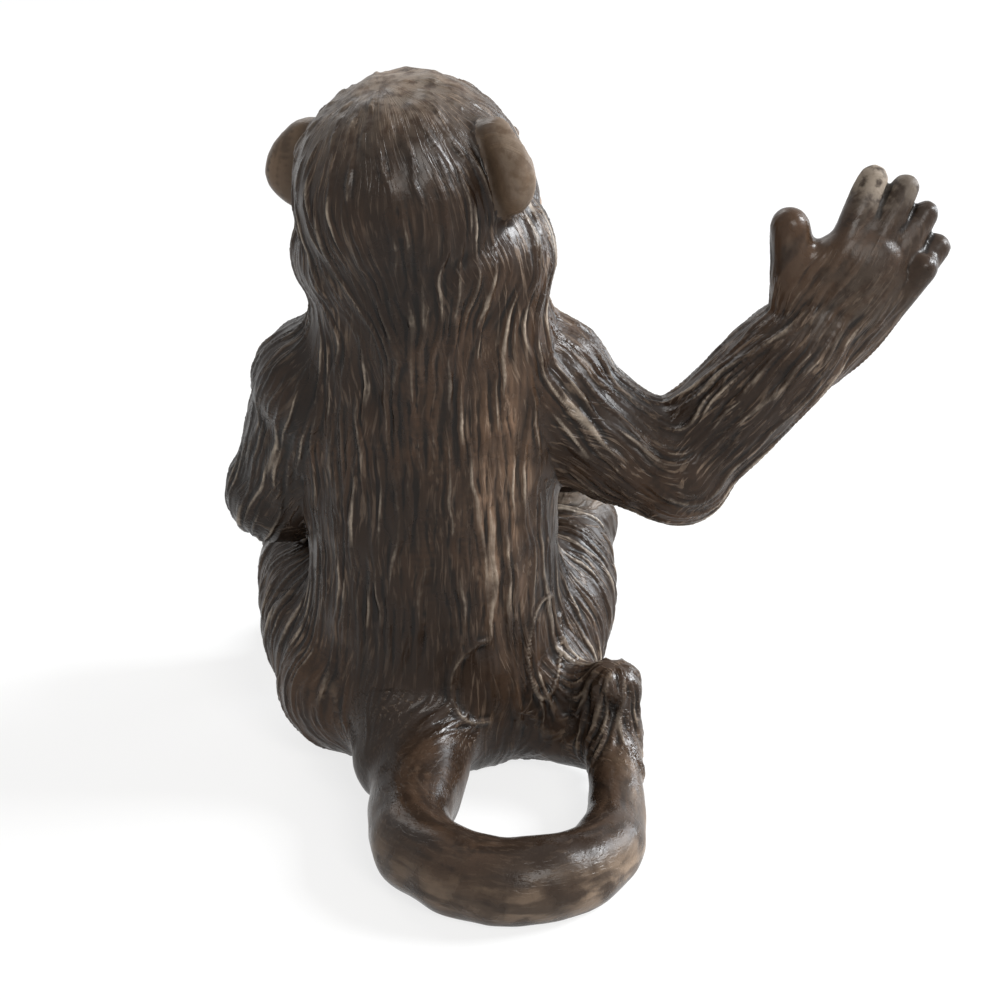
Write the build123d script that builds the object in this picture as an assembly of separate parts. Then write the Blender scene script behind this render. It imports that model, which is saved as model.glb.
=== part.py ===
from build123d import *
import os
from math import cos, radians, sin

# A seated monkey figurine with one arm held out and its tail curled on the ground.
# The figure is moulded in solid pieces. Each limb has a round peg that is glued into a socket
# in the piece that carries it, and its root follows the surface that it sits on. An ear is a
# tab in a slot. Millimetres, +Z up. The monkey faces -Y, so its right side is at -X. The origin
# is on the ground, under the middle of the whole figure.

# Torso
TORSO_HEIGHT = 46.5
TORSO_WIDTH = 24.2
TORSO_DEPTH = 20.0
TORSO_FORWARD = 0.6
# height, width, depth and backward lean of each section, as shares of the torso's own sizes
TORSO_SECTION_SHARES = (
    (0.00, 0.64, 0.60, 0.06),
    (0.04, 0.86, 0.82, 0.06),
    (0.13, 0.99, 0.98, 0.04),
    (0.27, 1.00, 1.00, 0.03),
    (0.45, 0.97, 0.97, 0.02),
    (0.62, 0.96, 0.92, 0.02),
    (0.78, 0.97, 0.88, 0.02),
    (0.91, 0.93, 0.84, 0.01),
    (1.00, 0.86, 0.80, 0.00),
)

# Head, with its sizes given before it is turned and tipped
HEAD_WIDTH = 20.4
HEAD_LENGTH = 22.4
HEAD_HEIGHT = 21.2
HEAD_RAISE = 10.0
HEAD_SIDE = 1.8
HEAD_TURN = -32.0
HEAD_TIP = 9.0
RUFF_WIDTH = 23.8
RUFF_DEPTH = 20.6
RUFF_HEIGHT = 16.0
RUFF_RAISE = 4.2
RUFF_SIDE = 0.7
FACE_WIDTH = 15.0
FACE_DEPTH = 9.0
FACE_HEIGHT = 13.5
FACE_INSET = 2.8
FACE_DROP = 2.6
BROW_WIDTH = 10.6
BROW_THICKNESS = 3.6
BROW_INSET = 1.0
BROW_RAISE = 2.4
MUZZLE_WIDTH = 11.0
MUZZLE_LENGTH = 10.0
MUZZLE_HEIGHT = 8.4
MUZZLE_DROP = 5.2
EYE_RADIUS = 1.4
EYE_SPACING = 6.0
EYE_FORWARD = 0.6

# Ears
EAR_HEIGHT = 9.0
EAR_REACH = 4.7
EAR_THICKNESS = 2.6
EAR_SWEEP = 22.0
# how far through the ear each outline lies, front to back, and its size, as shares
EAR_SECTION_SHARES = ((-1.0, 0.94), (-0.5, 1.0), (0.2, 0.96), (0.7, 0.82), (1.0, 0.56))
EAR_HOLLOW_DEPTH = 1.0
EAR_RIM = 0.9
EAR_TAB = 1.8
EAR_BACK = 0.6
EAR_RAISE = 2.3

# Arms
SHOULDER_HEIGHT = 36.9
SHOULDER_SPREAD_SHARE = 0.82
SHOULDER_FORWARD = 2.0
SHOULDER_RADIUS = 6.4
UPPER_ARM_RADIUS = 5.6
UPPER_ARM_SAG = 1.4
ELBOW_RADIUS = 5.2
FOREARM_RADIUS = 5.0
WRIST_RADIUS = 4.6
RIGHT_ELBOW_OUT = 12.8
RIGHT_ELBOW_BACK = 2.0
RIGHT_ELBOW_DROP = 7.2
RIGHT_WRIST_OUT = 11.4
RIGHT_WRIST_FORWARD = 2.0
RIGHT_WRIST_RISE = 11.4
LEFT_ELBOW_OUT = 5.0
LEFT_ELBOW_FORWARD = 3.0
LEFT_ELBOW_DROP = 12.0
LEFT_ELBOW_RADIUS = 4.8
LEFT_FOREARM_RADIUS = 4.2
LEFT_WRIST_RADIUS = 3.4
LEFT_WRIST_ACROSS = 19.0
LEFT_WRIST_CLEAR = 3.0
LEFT_WRIST_RISE = 0.6

# Hands
PALM_WIDTH = 10.8
PALM_LENGTH = 13.4
PALM_THICKNESS = 6.0
HAND_ROOT_RADIUS = 2.6
FINGER_LENGTH = 6.2
FINGER_RADIUS = 1.6
FINGER_TIP_RADIUS = 1.3
FINGER_CURL = 24.0
# where each finger starts across and along the palm and how long it is, as shares
FINGER_SHARES = (
    (0.46, 0.62, 1.04),
    (0.02, 0.70, 1.06),
    (-0.42, 0.60, 1.00),
    (-0.80, 0.38, 0.90),
)
FINGER_FANS = (3.0, -3.0, -9.0, -15.0)
THUMB_LENGTH = 8.2
THUMB_RADIUS = 2.4
THUMB_TIP_RADIUS = 1.9
THUMB_ROOT_SHARES = (0.54, -0.52)
THUMB_ANGLE = 36.0
RIGHT_HAND_TILT = 29.0
RIGHT_PALM_OUT = 3.7
RIGHT_PALM_RISE = 4.8
LEFT_PALM_ACROSS = 3.6
LEFT_PALM_FORWARD = 0.8
LEFT_PALM_DROP = 0.6
LEFT_HAND_TURN = 20.0

# Legs
HIP_HEIGHT = 7.4
HIP_SPREAD_SHARE = 0.68
HIP_BACK = 0.8
HIP_RADIUS = 6.6
THIGH_RADIUS = 7.1
KNEE_OUT = 4.4
KNEE_FORWARD = 15.0
KNEE_HEIGHT = 16.6
KNEE_RADIUS = 4.9
SHIN_RADIUS = 4.1
ANKLE_RADIUS = 3.2
ANKLE_FORWARD = 1.6
ANKLE_HEIGHT = 6.4
FOOT_ROOT_RADIUS = 2.3

# Feet
HEEL_WIDTH = 6.8
HEEL_LENGTH = 9.6
HEEL_HEIGHT = 5.4
HEEL_FORWARD = 1.6
BALL_WIDTH = 7.6
BALL_LENGTH = 9.6
BALL_HEIGHT = 4.8
BALL_FORWARD = 5.8
SOLE_SINK = 0.3
TOE_LENGTH = 3.8
TOE_RADIUS = 1.35
TOE_TIP_RADIUS = 1.15
TOES_FORWARD = 8.8
TOE_ROW_SHARES = (-0.66, -0.22, 0.22, 0.62)
BIG_TOE_FORWARD = 6.2
BIG_TOE_INWARD = 2.9
BIG_TOE_ANGLE = 40.0

# Tail
TAIL_ROOT_SIDE = 2.0
TAIL_ROOT_BACK = 5.0
TAIL_ROOT_HEIGHT = 7.6
TAIL_ROOT_RADIUS = 6.2
TAIL_BASE_RADIUS = 4.5
TAIL_RING_RADIUS = 9.3
TAIL_RING_SIDE = 7.2
TAIL_RING_BACK = 20.6
TAIL_RING_TURNS = (-20, 20, 60, 100, 140, 175)
TAIL_RADIUS = 3.9
TAIL_END_RADIUS = 2.6
TAIL_SINK = 0.25
TAIL_SECTIONS = 18
TUFT_RADIUS = 2.6
TUFT_HEIGHT = 9.6
TUFT_BACK = 7.2
TUFT_OUT = 0.5
# stations along the tail, as shares of its length, and its radius at each
TAIL_STATION_SHARES = (0.00, 0.14, 0.28, 0.55, 0.80, 1.00)
TAIL_STATION_RADII = (
    TAIL_ROOT_RADIUS,
    TAIL_BASE_RADIUS,
    TAIL_RADIUS,
    TAIL_RADIUS,
    TAIL_END_RADIUS,
    TUFT_RADIUS,
)

# Pegs, sockets and cuts
NECK_PEG_RADIUS = 3.2
NECK_PEG_LENGTH = 5.0
NECK_PEG_GRIP = 2.0
SHOULDER_PEG_RADIUS = 2.4
SHOULDER_PEG_GRIP = 4.4
SHOULDER_PEG_INSET = 3.4
HIP_PEG_RADIUS = 2.2
HIP_PEG_GRIP = 6.2
HIP_PEG_INSET = 0.6
TAIL_PEG_RADIUS = 2.2
TAIL_PEG_GRIP = 6.4
TAIL_PEG_INSET = 0.6
GLUE_GAP = 0.1
JOINT_SWELL_SHARE = 1.08
CUT_REACH = 80.0
# each peg's radius, how far it grips the limb, and how far it runs past the limb's root
NECK_PEG = (NECK_PEG_RADIUS, NECK_PEG_GRIP, NECK_PEG_LENGTH)
SHOULDER_PEG = (SHOULDER_PEG_RADIUS, SHOULDER_PEG_GRIP, SHOULDER_PEG_INSET)
HIP_PEG = (HIP_PEG_RADIUS, HIP_PEG_GRIP, HIP_PEG_INSET)
TAIL_PEG = (TAIL_PEG_RADIUS, TAIL_PEG_GRIP, TAIL_PEG_INSET)


def ellipsoid(width, depth, height):
    """A rounded lump of these overall sizes."""
    return scale(Sphere(1), by=(width / 2, depth / 2, height / 2))


def halfway(a, b):
    """The point midway between two places."""
    return a + (b - a) / 2


def square_planes(points):
    """A plane at each point of a route, square to it, with no twist from one to the next."""
    planes = []
    last = len(points) - 1
    side = (points[1] - points[0]).cross(Vector(0, 0, 1))
    for i, point in enumerate(points):
        along = (points[min(i + 1, last)] - points[max(i - 1, 0)]).normalized()
        side = (side - along * side.dot(along)).normalized()
        planes.append(Plane(origin=point, x_dir=side, z_dir=along))
    return planes


def limb(points, radii):
    """A limb that swells and tapers along a route."""
    return loft([plane * Circle(radius) for plane, radius in zip(square_planes(points), radii)])


def joint(place, radius):
    """The rounded end of a limb, a little fuller than the limb itself."""
    return Pos(place) * Sphere(radius * JOINT_SWELL_SHARE)


def digit(length, root_radius, tip_radius):
    """A finger or toe along +Z from the origin, round at both ends."""
    outline = Polyline((0, -root_radius), (0, length + tip_radius))
    outline += RadiusArc((0, length + tip_radius), (tip_radius, length), tip_radius)
    outline += Line((tip_radius, length), (root_radius, 0))
    outline += RadiusArc((root_radius, 0), (0, -root_radius), root_radius)
    return revolve(Plane.XZ * make_face(outline), Axis.Z)


def rod(start, end, radius):
    """A round bar from one place to another."""
    along = end - start
    bar = Cylinder(radius, along.length, align=(Align.CENTER, Align.CENTER, Align.MIN))
    return Plane(origin=start, z_dir=along.normalized()) * bar


def peg_and_socket(root, outward, radius, grip, inset):
    """A peg that grips the limb outside its root, and the hole that takes it with room for glue."""
    along = outward.normalized()
    outer = root + along * grip
    inner = root - along * inset
    return rod(outer, inner, radius), rod(outer, inner - along * GLUE_GAP, radius + GLUE_GAP)


def main_solid(shape):
    """The one solid of a finished piece, without any flake that a cut leaves."""
    return max(shape.solids(), key=lambda solid: solid.volume)


def below(height):
    """All the space under a height."""
    block = Box(CUT_REACH, CUT_REACH, CUT_REACH, align=(Align.CENTER, Align.CENTER, Align.MAX))
    return Pos(0, 0, height) * block


# Torso


def torso_form():
    """The trunk from the seat to the neck, lofted through ellipses."""
    sections = []
    for height, width, depth, lean in TORSO_SECTION_SHARES:
        centre = Pos(0, lean * TORSO_DEPTH - TORSO_FORWARD, height * TORSO_HEIGHT)
        sections.append(centre * Ellipse(width * TORSO_WIDTH / 2, depth * TORSO_DEPTH / 2))
    return loft(sections)


# Head and ears

head_place = Pos(HEAD_SIDE, 0, TORSO_HEIGHT + HEAD_RAISE)
head_place = head_place * Rot(0, 0, HEAD_TURN) * Rot(0, HEAD_TIP, 0)
face_front = -HEAD_LENGTH / 2


def head_form():
    """The skull, face, brow, muzzle, eyes and neck fur, flat where they stand on the torso."""
    skull = ellipsoid(HEAD_WIDTH, HEAD_LENGTH, HEAD_HEIGHT)
    face = ellipsoid(FACE_WIDTH, FACE_DEPTH, FACE_HEIGHT)
    face = Pos(0, face_front + FACE_INSET, -FACE_DROP) * face
    brow = ellipsoid(BROW_WIDTH, BROW_THICKNESS, BROW_THICKNESS)
    brow = Pos(0, face_front + BROW_INSET, BROW_RAISE) * brow
    muzzle = ellipsoid(MUZZLE_WIDTH, MUZZLE_LENGTH, MUZZLE_HEIGHT)
    muzzle = Pos(0, face_front, -MUZZLE_DROP) * muzzle
    features = [face, brow, muzzle]
    for side in (-1, 1):
        eye = Pos(side * EYE_SPACING / 2, face_front - EYE_FORWARD, 0) * Sphere(EYE_RADIUS)
        features.append(eye)
    ruff = ellipsoid(RUFF_WIDTH, RUFF_DEPTH, RUFF_HEIGHT)
    ruff = Pos(RUFF_SIDE, -TORSO_FORWARD, TORSO_HEIGHT + RUFF_RAISE) * ruff
    return head_place * (skull + features) + ruff - below(TORSO_HEIGHT)


def ear_place(side):
    """Where an ear meets the skull; side is -1 for the right ear and 1 for the left."""
    root = Pos(side * HEAD_WIDTH / 2, EAR_BACK, EAR_RAISE)
    return head_place * root * Rot(0, 0, side * EAR_SWEEP)


def ear_blade(side, gap):
    """The round blade of an ear with its tab, thicker all over by the gap."""
    sections = []
    for depth, size in EAR_SECTION_SHARES:
        outline = Ellipse(EAR_REACH * size + gap, EAR_HEIGHT / 2 * size + gap)
        level = Plane.XZ.offset(-depth * (EAR_THICKNESS / 2 + gap))
        sections.append(level * outline)
    inner_end = side * (-EAR_TAB - gap)
    tab_side = (Align.MAX if side > 0 else Align.MIN, Align.CENTER, Align.CENTER)
    beyond = Box(CUT_REACH, CUT_REACH, CUT_REACH, align=tab_side)
    return loft(sections) - Pos(inner_end, 0, 0) * beyond


def ear_form(side):
    """An ear: its blade with a hollow in the front."""
    hollow_reach = EAR_REACH - EAR_RIM
    hollow = ellipsoid(hollow_reach, EAR_HOLLOW_DEPTH * 2, EAR_HEIGHT - EAR_RIM * 2)
    hollow = Pos(side * hollow_reach / 2, -EAR_THICKNESS / 2, 0) * hollow
    return ear_place(side) * (ear_blade(side, 0) - hollow)


def ear_slot(side):
    """The slot in the skull that takes an ear's tab."""
    return ear_place(side) * ear_blade(side, GLUE_GAP)


# Arms and hands

shoulder_spread = SHOULDER_SPREAD_SHARE * TORSO_WIDTH / 2


def shoulder_place(side):
    """The middle of a shoulder."""
    return Vector(side * shoulder_spread, -SHOULDER_FORWARD, SHOULDER_HEIGHT)


def hand_form(side):
    """A hand with its fingers along +Z and its back at +Y; the thumb is at +X on the right hand."""
    thumb_side = -side
    half_width = PALM_WIDTH / 2
    half_length = PALM_LENGTH / 2
    digits = []
    for (across, along, length), fan in zip(FINGER_SHARES, FINGER_FANS):
        root = Pos(thumb_side * across * half_width, 0, along * half_length)
        finger = digit(FINGER_LENGTH * length, FINGER_RADIUS, FINGER_TIP_RADIUS)
        digits.append(root * Rot(0, thumb_side * fan, 0) * Rot(FINGER_CURL, 0, 0) * finger)
    across, along = THUMB_ROOT_SHARES
    root = Pos(thumb_side * across * half_width, 0, along * half_length)
    thumb = digit(THUMB_LENGTH, THUMB_RADIUS, THUMB_TIP_RADIUS)
    digits.append(root * Rot(0, thumb_side * THUMB_ANGLE, 0) * thumb)
    return ellipsoid(PALM_WIDTH, PALM_THICKNESS, PALM_LENGTH) + digits


def right_arm_form():
    """The arm that is held out to the side, with its hand raised and open."""
    shoulder = shoulder_place(-1)
    elbow = shoulder + Vector(-RIGHT_ELBOW_OUT, RIGHT_ELBOW_BACK, -RIGHT_ELBOW_DROP)
    wrist = elbow + Vector(-RIGHT_WRIST_OUT, -RIGHT_WRIST_FORWARD, RIGHT_WRIST_RISE)
    palm = wrist + Vector(-RIGHT_PALM_OUT, 0, RIGHT_PALM_RISE)
    biceps = halfway(shoulder, elbow) - Vector(0, 0, UPPER_ARM_SAG)
    upper = limb([shoulder, biceps, elbow], [SHOULDER_RADIUS, UPPER_ARM_RADIUS, ELBOW_RADIUS])
    lower_radii = [ELBOW_RADIUS, FOREARM_RADIUS, WRIST_RADIUS, HAND_ROOT_RADIUS]
    lower = limb([elbow, halfway(elbow, wrist), wrist, palm], lower_radii)
    hand = Pos(palm) * Rot(0, -RIGHT_HAND_TILT, 0) * hand_form(-1)
    return upper + [joint(shoulder, SHOULDER_RADIUS), joint(elbow, ELBOW_RADIUS), lower, hand]


def left_arm_form():
    """The arm that is bent across the lap, with its hand on the right knee."""
    shoulder = shoulder_place(1)
    elbow = shoulder + Vector(LEFT_ELBOW_OUT, -LEFT_ELBOW_FORWARD, -LEFT_ELBOW_DROP)
    belly_front = -TORSO_FORWARD - TORSO_DEPTH / 2
    wrist_height = elbow.Z + LEFT_WRIST_RISE
    wrist = Vector(elbow.X - LEFT_WRIST_ACROSS, belly_front - LEFT_WRIST_CLEAR, wrist_height)
    palm = wrist + Vector(-LEFT_PALM_ACROSS, -LEFT_PALM_FORWARD, -LEFT_PALM_DROP)
    biceps = halfway(shoulder, elbow)
    upper = limb([shoulder, biceps, elbow], [SHOULDER_RADIUS, UPPER_ARM_RADIUS, LEFT_ELBOW_RADIUS])
    forearm = halfway(elbow, wrist)
    lower_radii = [LEFT_ELBOW_RADIUS, LEFT_FOREARM_RADIUS, LEFT_WRIST_RADIUS, HAND_ROOT_RADIUS]
    lower = limb([elbow, forearm, wrist, palm], lower_radii)
    hand = Pos(palm) * Rot(0, 0, LEFT_HAND_TURN) * Rot(0, -90, 0) * Rot(0, 0, -90) * hand_form(1)
    return upper + [joint(shoulder, SHOULDER_RADIUS), joint(elbow, LEFT_ELBOW_RADIUS), lower, hand]


# Legs and feet

hip_spread = HIP_SPREAD_SHARE * TORSO_WIDTH / 2


def hip_place(side):
    """The middle of a hip."""
    return Vector(side * hip_spread, HIP_BACK, HIP_HEIGHT)


def foot_form(side):
    """A flat foot that points forwards from under the ankle, with its big toe on the inner side."""
    heel = ellipsoid(HEEL_WIDTH, HEEL_LENGTH, HEEL_HEIGHT)
    heel = Pos(0, -HEEL_FORWARD, HEEL_HEIGHT / 2 - SOLE_SINK) * heel
    ball = ellipsoid(BALL_WIDTH, BALL_LENGTH, BALL_HEIGHT)
    ball = Pos(0, -BALL_FORWARD, BALL_HEIGHT / 2 - SOLE_SINK) * ball
    toe = Rot(90, 0, 0) * digit(TOE_LENGTH, TOE_RADIUS, TOE_TIP_RADIUS)
    lying = TOE_RADIUS - SOLE_SINK
    toes = []
    for across in TOE_ROW_SHARES:
        toes.append(Pos(across * BALL_WIDTH / 2, -TOES_FORWARD, lying) * toe)
    inner = Pos(-side * BIG_TOE_INWARD, -BIG_TOE_FORWARD, lying)
    toes.append(inner * Rot(0, 0, -side * BIG_TOE_ANGLE) * toe)
    return heel + ball + toes


def leg_form(side):
    """A bent leg with its foot flat on the ground; side is -1 for the right and 1 for the left."""
    hip = hip_place(side)
    knee = Vector(hip.X + side * KNEE_OUT, hip.Y - KNEE_FORWARD, KNEE_HEIGHT)
    ankle = Vector(knee.X, knee.Y - ANKLE_FORWARD, ANKLE_HEIGHT)
    thigh = limb([hip, halfway(hip, knee), knee], [HIP_RADIUS, THIGH_RADIUS, KNEE_RADIUS])
    sole = Vector(ankle.X, ankle.Y - HEEL_FORWARD, HEEL_HEIGHT / 2)
    shin_radii = [KNEE_RADIUS, SHIN_RADIUS, ANKLE_RADIUS, FOOT_ROOT_RADIUS]
    shin = limb([knee, halfway(knee, ankle), ankle, sole], shin_radii)
    foot = Pos(ankle.X, ankle.Y, 0) * foot_form(side)
    return thigh + [joint(hip, HIP_RADIUS), joint(knee, KNEE_RADIUS), shin, foot] - below(0)


# Tail


def tail_line():
    """The line that the tail follows from the rump round a ring to its raised tuft."""
    points = [Vector(TAIL_ROOT_SIDE, TAIL_ROOT_BACK, TAIL_ROOT_HEIGHT)]
    lying = TAIL_RADIUS - TAIL_SINK
    for turn in TAIL_RING_TURNS:
        across = TAIL_RING_RADIUS * cos(radians(turn)) - TAIL_RING_SIDE
        back = TAIL_RING_RADIUS * sin(radians(turn)) + TAIL_RING_BACK
        points.append(Vector(across, back, lying))
        lying += (TAIL_END_RADIUS - TAIL_RADIUS) / len(TAIL_RING_TURNS)
    tip = Vector(points[-1].X - TUFT_OUT, TUFT_BACK, TUFT_HEIGHT)
    bend = Vector(tip.X, tip.Y + TAIL_END_RADIUS, tip.Z / 2)
    return Spline(*points, bend, tip)


def tail_radius(share):
    """The tail's radius at a share of its length."""
    stations = list(zip(TAIL_STATION_SHARES, TAIL_STATION_RADII))
    for (start, first), (end, second) in zip(stations, stations[1:]):
        if share <= end:
            return first + (second - first) * (share - start) / (end - start)


def tail_form():
    """A tail that leaves the rump, runs round a ring on the ground and ends in a raised tuft."""
    line = tail_line()
    shares = [i / TAIL_SECTIONS for i in range(TAIL_SECTIONS + 1)]
    radii = [tail_radius(share) for share in shares]
    body = limb([line @ share for share in shares], radii)
    return body + joint(line @ 1, radii[-1]) - below(0)


# The whole figure


def figure():
    """Every piece by name, each seated on what carries it."""
    torso = torso_form()
    head = head_form()
    right_leg = main_solid(leg_form(-1) - torso)
    left_leg = main_solid(leg_form(1) - torso)
    right_arm = main_solid(right_arm_form() - torso - head)
    left_arm = main_solid(left_arm_form() - torso - head - left_leg - right_leg)
    tail = main_solid(tail_form() - torso - right_leg - left_leg)
    limbs = {
        "right_arm": (right_arm, shoulder_place(-1)),
        "left_arm": (left_arm, shoulder_place(1)),
        "right_leg": (right_leg, hip_place(-1)),
        "left_leg": (left_leg, hip_place(1)),
    }

    pieces = {}
    sockets = []
    for name, (form, root) in limbs.items():
        fit = SHOULDER_PEG if name.endswith("arm") else HIP_PEG
        peg, socket = peg_and_socket(root, Vector(root.X, 0, 0), *fit)
        pieces[name] = form + peg
        sockets.append(socket)

    line = tail_line()
    peg, socket = peg_and_socket(line @ 0, line % 0, *TAIL_PEG)
    pieces["tail"] = tail + peg
    sockets.append(socket)

    neck = Vector(0, -TORSO_FORWARD, TORSO_HEIGHT)
    peg, socket = peg_and_socket(neck, Vector(0, 0, 1), *NECK_PEG)
    pieces["head"] = head + peg - [ear_slot(-1), ear_slot(1)]
    sockets.append(socket)

    pieces["torso"] = torso - sockets
    pieces["right_ear"] = ear_form(-1)
    pieces["left_ear"] = ear_form(1)
    box = Compound(children=[main_solid(piece) for piece in pieces.values()]).bounding_box()
    middle = Pos(-box.center().X, -box.center().Y, 0)
    return {name: middle * main_solid(piece) for name, piece in pieces.items()}


if __name__ == "__main__":
    os.makedirs("parts", exist_ok=True)
    for name, piece in figure().items():
        export_step(piece, f"parts/{name}.step")
        size = piece.bounding_box().size
        state = "closed" if piece.is_valid else "open"
        print(f"{name}: {size.X:.1f} x {size.Y:.1f} x {size.Z:.1f} mm, {piece.volume:.0f} mm3, {state}")
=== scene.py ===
# %% [markdown]
# # A seated monkey, moulded in vinyl and painted
#
# The real object is a small toy figure of a monkey that sits with one arm held out. It is cast in
# solid vinyl, its fur is cut into the mould as fine ridges, and it is painted dark brown with a
# paler brown wiped over the ridges. The CAD pieces give the size and the pose. In this lesson they
# become one smooth lump of clay, the clay is combed and carved, and it is cut up again into the
# same nine pieces, each with its paint.

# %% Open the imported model
import math

import bmesh
import bpy
import numpy as np
from mathutils import Matrix, Vector
from mathutils.bvhtree import BVHTree
from mathutils.kdtree import KDTree


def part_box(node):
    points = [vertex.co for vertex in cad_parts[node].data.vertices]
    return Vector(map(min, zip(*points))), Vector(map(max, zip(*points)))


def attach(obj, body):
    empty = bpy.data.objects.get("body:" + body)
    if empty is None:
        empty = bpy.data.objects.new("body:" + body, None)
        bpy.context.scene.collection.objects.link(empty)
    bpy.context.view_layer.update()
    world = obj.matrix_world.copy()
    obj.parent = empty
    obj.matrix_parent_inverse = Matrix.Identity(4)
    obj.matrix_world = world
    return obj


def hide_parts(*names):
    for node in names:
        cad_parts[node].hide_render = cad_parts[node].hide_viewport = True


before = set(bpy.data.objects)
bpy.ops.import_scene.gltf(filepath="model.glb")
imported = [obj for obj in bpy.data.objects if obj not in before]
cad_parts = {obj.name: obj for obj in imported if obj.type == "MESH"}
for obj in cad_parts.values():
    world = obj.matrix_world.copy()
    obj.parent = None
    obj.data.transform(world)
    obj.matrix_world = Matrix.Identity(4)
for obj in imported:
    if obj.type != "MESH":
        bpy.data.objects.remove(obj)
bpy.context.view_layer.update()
torso_low, torso_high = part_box("torso")

# %% [markdown]
# ## The camera
#
# The photograph looks at the monkey's back from a little above. A real camera close to a small
# thing gives strong perspective, so the lens and the distance both matter. They are set once here,
# and the aim point is measured from the torso, so the camera follows the model.

# %% Place the camera
CAMERA_DISTANCE = 0.240
CAMERA_RISE = math.radians(25)
CAMERA_LENS = 91.6
AIM_SIDE = -0.00623
AIM_HEIGHT = 0.026

torso_middle = (torso_low + torso_high) / 2
aim = Vector((torso_middle.x + AIM_SIDE, torso_middle.y, AIM_HEIGHT))
towards_camera = Vector((0, math.cos(CAMERA_RISE), math.sin(CAMERA_RISE)))
camera = bpy.data.objects.new("camera", bpy.data.cameras.new("camera"))
camera.data.lens = CAMERA_LENS
camera.data.clip_start = 0.01
camera.data.clip_end = 20
camera.location = aim + towards_camera * CAMERA_DISTANCE
camera.rotation_euler = (-towards_camera).to_track_quat("-Z", "Y").to_euler()
bpy.context.scene.collection.objects.link(camera)
bpy.context.scene.camera = camera
bpy.context.scene.view_settings.view_transform = "Standard"
print("camera at", [round(v, 4) for v in camera.location])

# %% [markdown]
# ## Table and light
#
# The figure stands on a plain pale table in soft light. The table is white to the camera and still
# takes a shadow: its shader is mostly a white glow where a camera ray meets it, and plain white
# paint for all other light. The glow takes over away from the figure, so the table has no visible
# end. The sky works the same way. The main lamp is a window on the right, with a cooler one lower
# down beside it. A lamp behind the camera and a weak one on the far side keep the shadows soft.
#
# A shader tree is easier to read if a node is made, set and linked in one call, so the helper for
# that comes first. It serves every tree in this lesson.

# %% Helpers for node trees
def add_node(tree, kind, inputs=(), **settings):
    """A node with its settings, and its inputs linked or set in order or by name."""
    node = tree.nodes.new(kind)
    for key, value in settings.items():
        setattr(node, key, value)
    live = [socket for socket in node.inputs if socket.enabled]
    pairs = inputs.items() if isinstance(inputs, dict) else enumerate(inputs)
    for key, value in pairs:
        socket = live[key] if isinstance(key, int) else next(s for s in live if s.name == key)
        if isinstance(value, bpy.types.NodeSocket):
            tree.links.new(value, socket)
        else:
            socket.default_value = value
    return node


def out(node, name=None):
    """A node's output by name, or its first one in use."""
    return next(s for s in node.outputs if s.enabled and (name is None or s.name == name))


def smooth_range(tree, source, low, high, first=0.0, last=1.0):
    """A value that goes smoothly from first to last while its source goes from low to high."""
    return out(add_node(tree, "ShaderNodeMapRange", (source, low, high, first, last),
                        interpolation_type="SMOOTHSTEP"))


def new_paint(name):
    """A new material, and its node tree."""
    paint = bpy.data.materials.new(name)
    paint.use_nodes = True
    return paint, paint.node_tree


def seen_directly(tree):
    """A value that is 1 for rays that show the background and 0 for rays that only light things."""
    path = add_node(tree, "ShaderNodeLightPath")
    shown = out(path, "Is Camera Ray")
    for ray in ("Is Glossy Ray", "Is Transmission Ray"):
        shown = out(add_node(tree, "ShaderNodeMath", (shown, out(path, ray)), operation="MAXIMUM"))
    return shown


print("node helpers ready")

# %% Make the table
TABLE_HALF, TABLE_HEIGHT = 1.5, -0.00005
TABLE_WHITE = (0.86, 0.86, 0.85, 1)
GLOW_FROM, GLOW_TO, GLOW_NEAR, GLOW_FAR = 0.06, 0.40, 0.78, 1.0


def table_paint():
    """White table paint that glows white to the camera and keeps a soft shadow."""
    paint, tree = new_paint("table white")
    tree.nodes.clear()
    spot = out(add_node(tree, "ShaderNodeTexCoord"), "Object")
    away = out(add_node(tree, "ShaderNodeVectorMath", (spot,), operation="LENGTH"), "Value")
    glow_share = smooth_range(tree, away, GLOW_FROM, GLOW_TO, GLOW_NEAR, GLOW_FAR)
    share = add_node(tree, "ShaderNodeMath", (seen_directly(tree), glow_share), operation="MULTIPLY")
    white = add_node(tree, "ShaderNodeBsdfDiffuse", {"Color": TABLE_WHITE})
    glow = add_node(tree, "ShaderNodeEmission", {"Color": (1, 1, 1, 1)})
    mix = add_node(tree, "ShaderNodeMixShader", (out(share), out(white), out(glow)))
    add_node(tree, "ShaderNodeOutputMaterial", (out(mix),))
    return paint


table_mesh = bpy.data.meshes.new("table")
table_corners = [(-1, -1), (1, -1), (1, 1), (-1, 1)]
table_mesh.from_pydata([(x * TABLE_HALF, y * TABLE_HALF, TABLE_HEIGHT) for x, y in table_corners], [],
                       [(0, 1, 2, 3)])
table_mesh.materials.append(table_paint())
table = bpy.data.objects.new("table", table_mesh)
bpy.context.scene.collection.objects.link(table)
print("table", TABLE_HALF * 2, "m across")

# %% Light the sky and hang the lamps
AMBIENT = 0.31
# name, place, size, power and tint
LAMPS = (("window lamp", (-0.46, -0.08, 0.34), 0.18, 5.6, (0.94, 0.97, 1.0)),
         ("side lamp", (-0.46, -0.30, 0.14), 0.24, 1.7, (0.88, 0.94, 1.0)),
         ("room lamp", (-0.20, 0.46, 0.42), 0.26, 2.1, (1.0, 0.97, 0.93)),
         ("far lamp", (0.20, -0.40, 0.42), 0.30, 1.2, (1.0, 0.98, 0.96)))


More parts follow.
